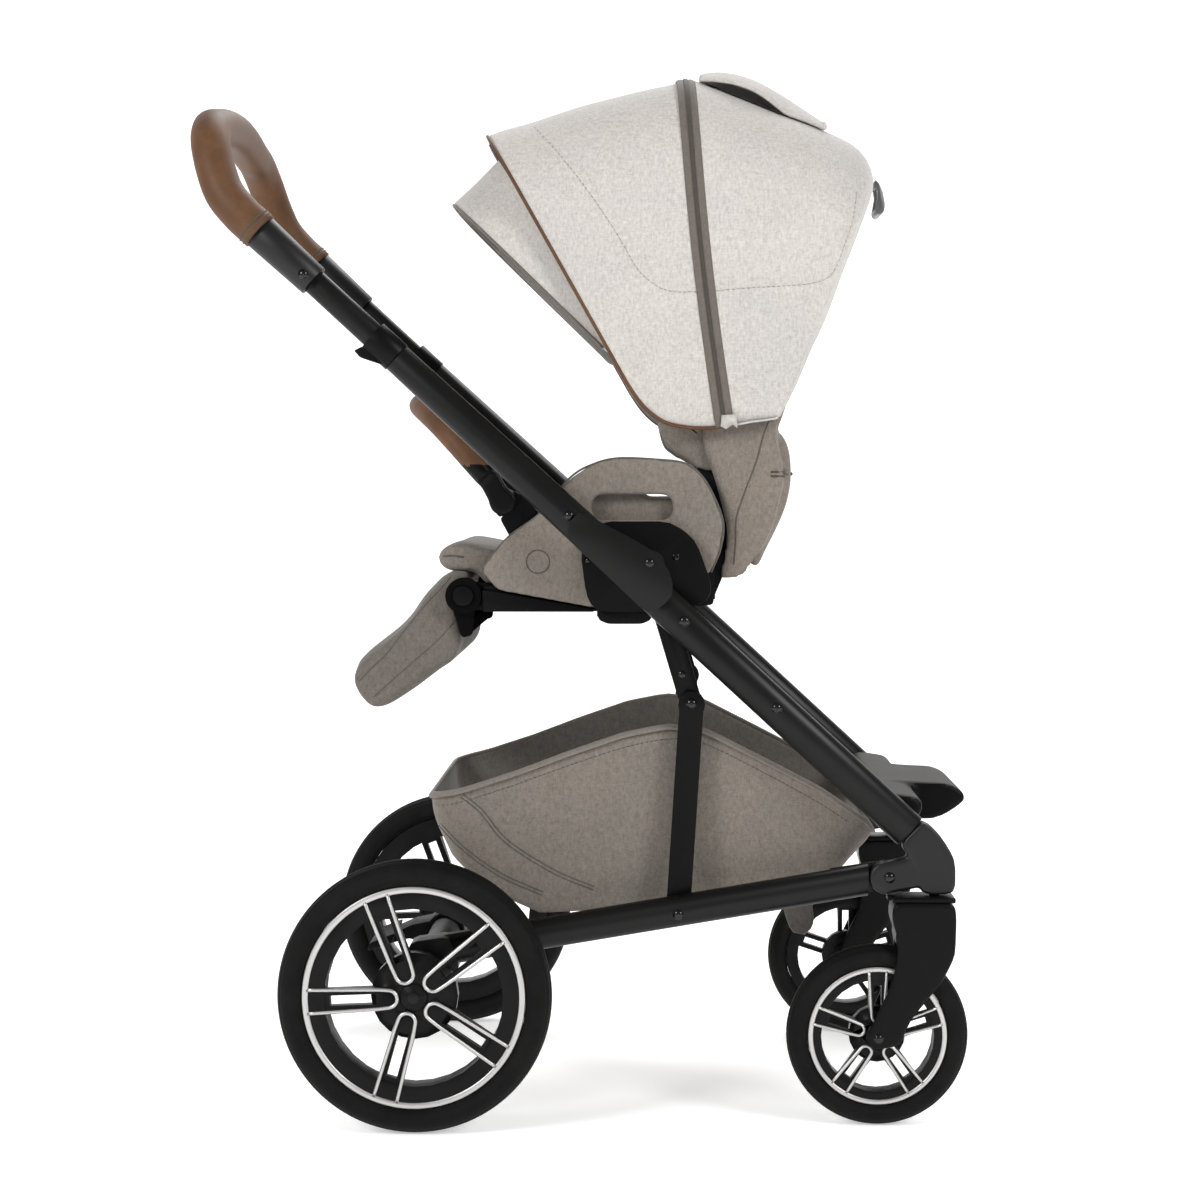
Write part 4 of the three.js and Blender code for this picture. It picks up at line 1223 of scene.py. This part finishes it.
def basket_rows(rim, floor, middle_x):
    """Rows of points down the sides, which belly out with soft creases, then in across the floor."""
    middle = np.array([middle_x, 0.0, 0.0])
    rows = []
    for step in np.linspace(0, 1, 22):
        belly = math.sin(math.pi * step)
        row = []
        for top, low in zip(rim, floor):
            out = top - middle
            out[2] = 0
            out /= np.linalg.norm(out)
            rear = max(0.0, -out[0]) ** 3
            point = top + (low - top) * step
            point = point + out * belly * (2.5 + 4 * rear)
            row.append(point + out * belly * wave(point / 1000, 0.05, 21.0) * 2.0)
        rows.append(row)
    floor_x, floor_z = zip(*BASKET_FLOOR)
    for share in np.linspace(0.86, 0.02, 9):
        row = []
        for low in floor:
            x = middle_x + (low[0] - middle_x) * share
            row.append((x, low[1] * share, float(np.interp(x, floor_x, floor_z)) + 1.0 - 3.0 * (1 - share)))
        rows.append(row)
    return in_metres([[*row, row[0]] for row in rows])


def basket_seams(surface):
    """The stitches under the rim and the double seams that run down from its rear corners."""
    rim_stitch = [(16, 333), (46, 340), (104, 359), (162, 380), (220, 399), (266, 408), (304, 404),
                  (374, 370), (432, 338), (462, 318)]
    long_seams = [
        [(44, 346), (65, 329), (92, 296), (142, 263), (186, 244)],
        [(18, 312), (46, 286), (84, 259), (130, 238)],
    ]
    made = [both_sides("basket_rim_stitch", surface, rim_stitch, stitches, THREAD_DARK)]
    for i, points in enumerate(long_seams):
        for j, row in enumerate(double_row(points, 4.0)):
            made.append(both_sides(f"basket_seam_{i}_{j}", surface, row, seam, DARK_LINEN, 0.0008))
    return made


def basket_tabs():
    """A hanging cloth loop with its snap, one on each side."""
    loop = [(398, 250), (401, 232), (406, 212), (412, 198), (417, 205), (416, 224), (420, 250)]
    dome = [(0.01, 1.4), (4.6, 1.0), (5.4, 0), (0.01, 0)]
    made = []
    for side, sign in SIDES:
        line = [mm(x, sign * 150, z) for x, z in curve_through(loop, 40)]
        tab = tube(f"basket_tab_{side}", line, 0.0012, DARK_LINEN, flatten=8.5)
        snap = lathe(f"basket_snap_{side}", dome, Vector(), STEEL, 24)
        snap.data.transform(Matrix.Translation(mm(405, sign * 151, 222)) @ Matrix.Rotation(1.3, 4, "X"))
        made += [tab, snap]
    return made


def build_basket():
    """A cloth tub, hemmed at its rim, whose sides belly out and whose floor hangs."""
    rim = np.array(basket_loop(BASKET_RIM, 192, 34, 132))
    floor = np.array(basket_loop(BASKET_FLOOR, 176, 30, 132))
    rows = basket_rows(rim, floor, 270.0)
    # The inside of the basket gets the darker copy of the linen, as painted shade.
    shell = grid_object("basket_cloth", rows, LINEN, LINEN_INSIDE_SHADED)
    weld(shell, 0.0001)
    face_away(shell, mm(270, 0, 320))
    surface = surface_of(shell)
    add_thickness(shell, 0.0016, 1)
    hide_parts("basket")
    rim_path = [mm(*point) for point in rim]
    hem = tube("basket_hem", rim_path, 0.0046, HEM_LINEN, sides=10, flatten=0.45, closed=True, up=(0, 0, 1))
    trims = [hem, *basket_seams(surface), *basket_tabs()]
    for piece in [shell, *trims]:
        attach(piece, "rear_frame")


# ---------------------------------------------------------------- studio
def build_studio():
    """A white sweep of paper, a soft sky and three large lamps."""
    scene = bpy.context.scene
    scene.view_settings.view_transform = "Standard"
    world = bpy.data.worlds.new("studio")
    scene.world = world
    world.use_nodes = True
    sky = world.node_tree.nodes["Background"]
    sky.inputs["Color"].default_value = (1, 1, 1, 1)
    sky.inputs["Strength"].default_value = SKY_LIGHT
    paper, _, _ = start_material(
        "studio_paper", (0.92, 0.92, 0.92), roughness=0.95, specular_ior_level=0.0,
        emission_color=(1, 1, 1, 1), emission_strength=PAPER_GLOW,
    )
    bend_start, bend = 2.5, 1.6
    side_line = [(-9, 0), (bend_start, 0)]
    for turn in np.linspace(0.1, math.pi / 2, 14):
        side_line.append((bend_start + bend * math.sin(turn), bend - bend * math.cos(turn)))
    side_line.append((bend_start + bend, 8))
    sweep = grid_object("studio_sweep", [[(x, y, z) for y, z in side_line] for x in (-12, 12)], paper)
    for name, place_at, size, power in LAMPS:
        data = bpy.data.lights.new(name, "AREA")
        data.size = size
        data.energy = power
        lamp = bpy.data.objects.new(name, data)
        lamp.location = place_at
        lamp.rotation_euler = (Vector((0, 0, 0.5)) - Vector(place_at)).to_track_quat("-Z", "Y").to_euler()
        scene.collection.objects.link(lamp)


def build_camera():
    """Looks level with the seat, turned and tipped by small angles from straight ahead."""
    turned, tipped = 0.0231, 0.0491
    data = bpy.data.cameras.new("camera")
    data.lens = 76.6
    data.sensor_width = 36
    camera = bpy.data.objects.new("camera", data)
    camera.location = (0.0850, -2.9374, 0.6933)
    look = Vector((-math.sin(turned), math.cos(turned), 0)) * math.cos(tipped)
    look.z = -math.sin(tipped)
    camera.rotation_euler = look.to_track_quat("-Z", "Y").to_euler()
    bpy.context.scene.collection.objects.link(camera)
    bpy.context.scene.camera = camera


build_studio()
build_camera()
finish_cad_parts()
build_footplate()
build_moulded_parts()
build_wheels()
build_screws()
build_handle()
build_arm_bar()
build_canopy()
build_seat()
build_wings()
build_backrest()
build_backrest_folds()
build_harness()
build_calf_rest()
build_basket()
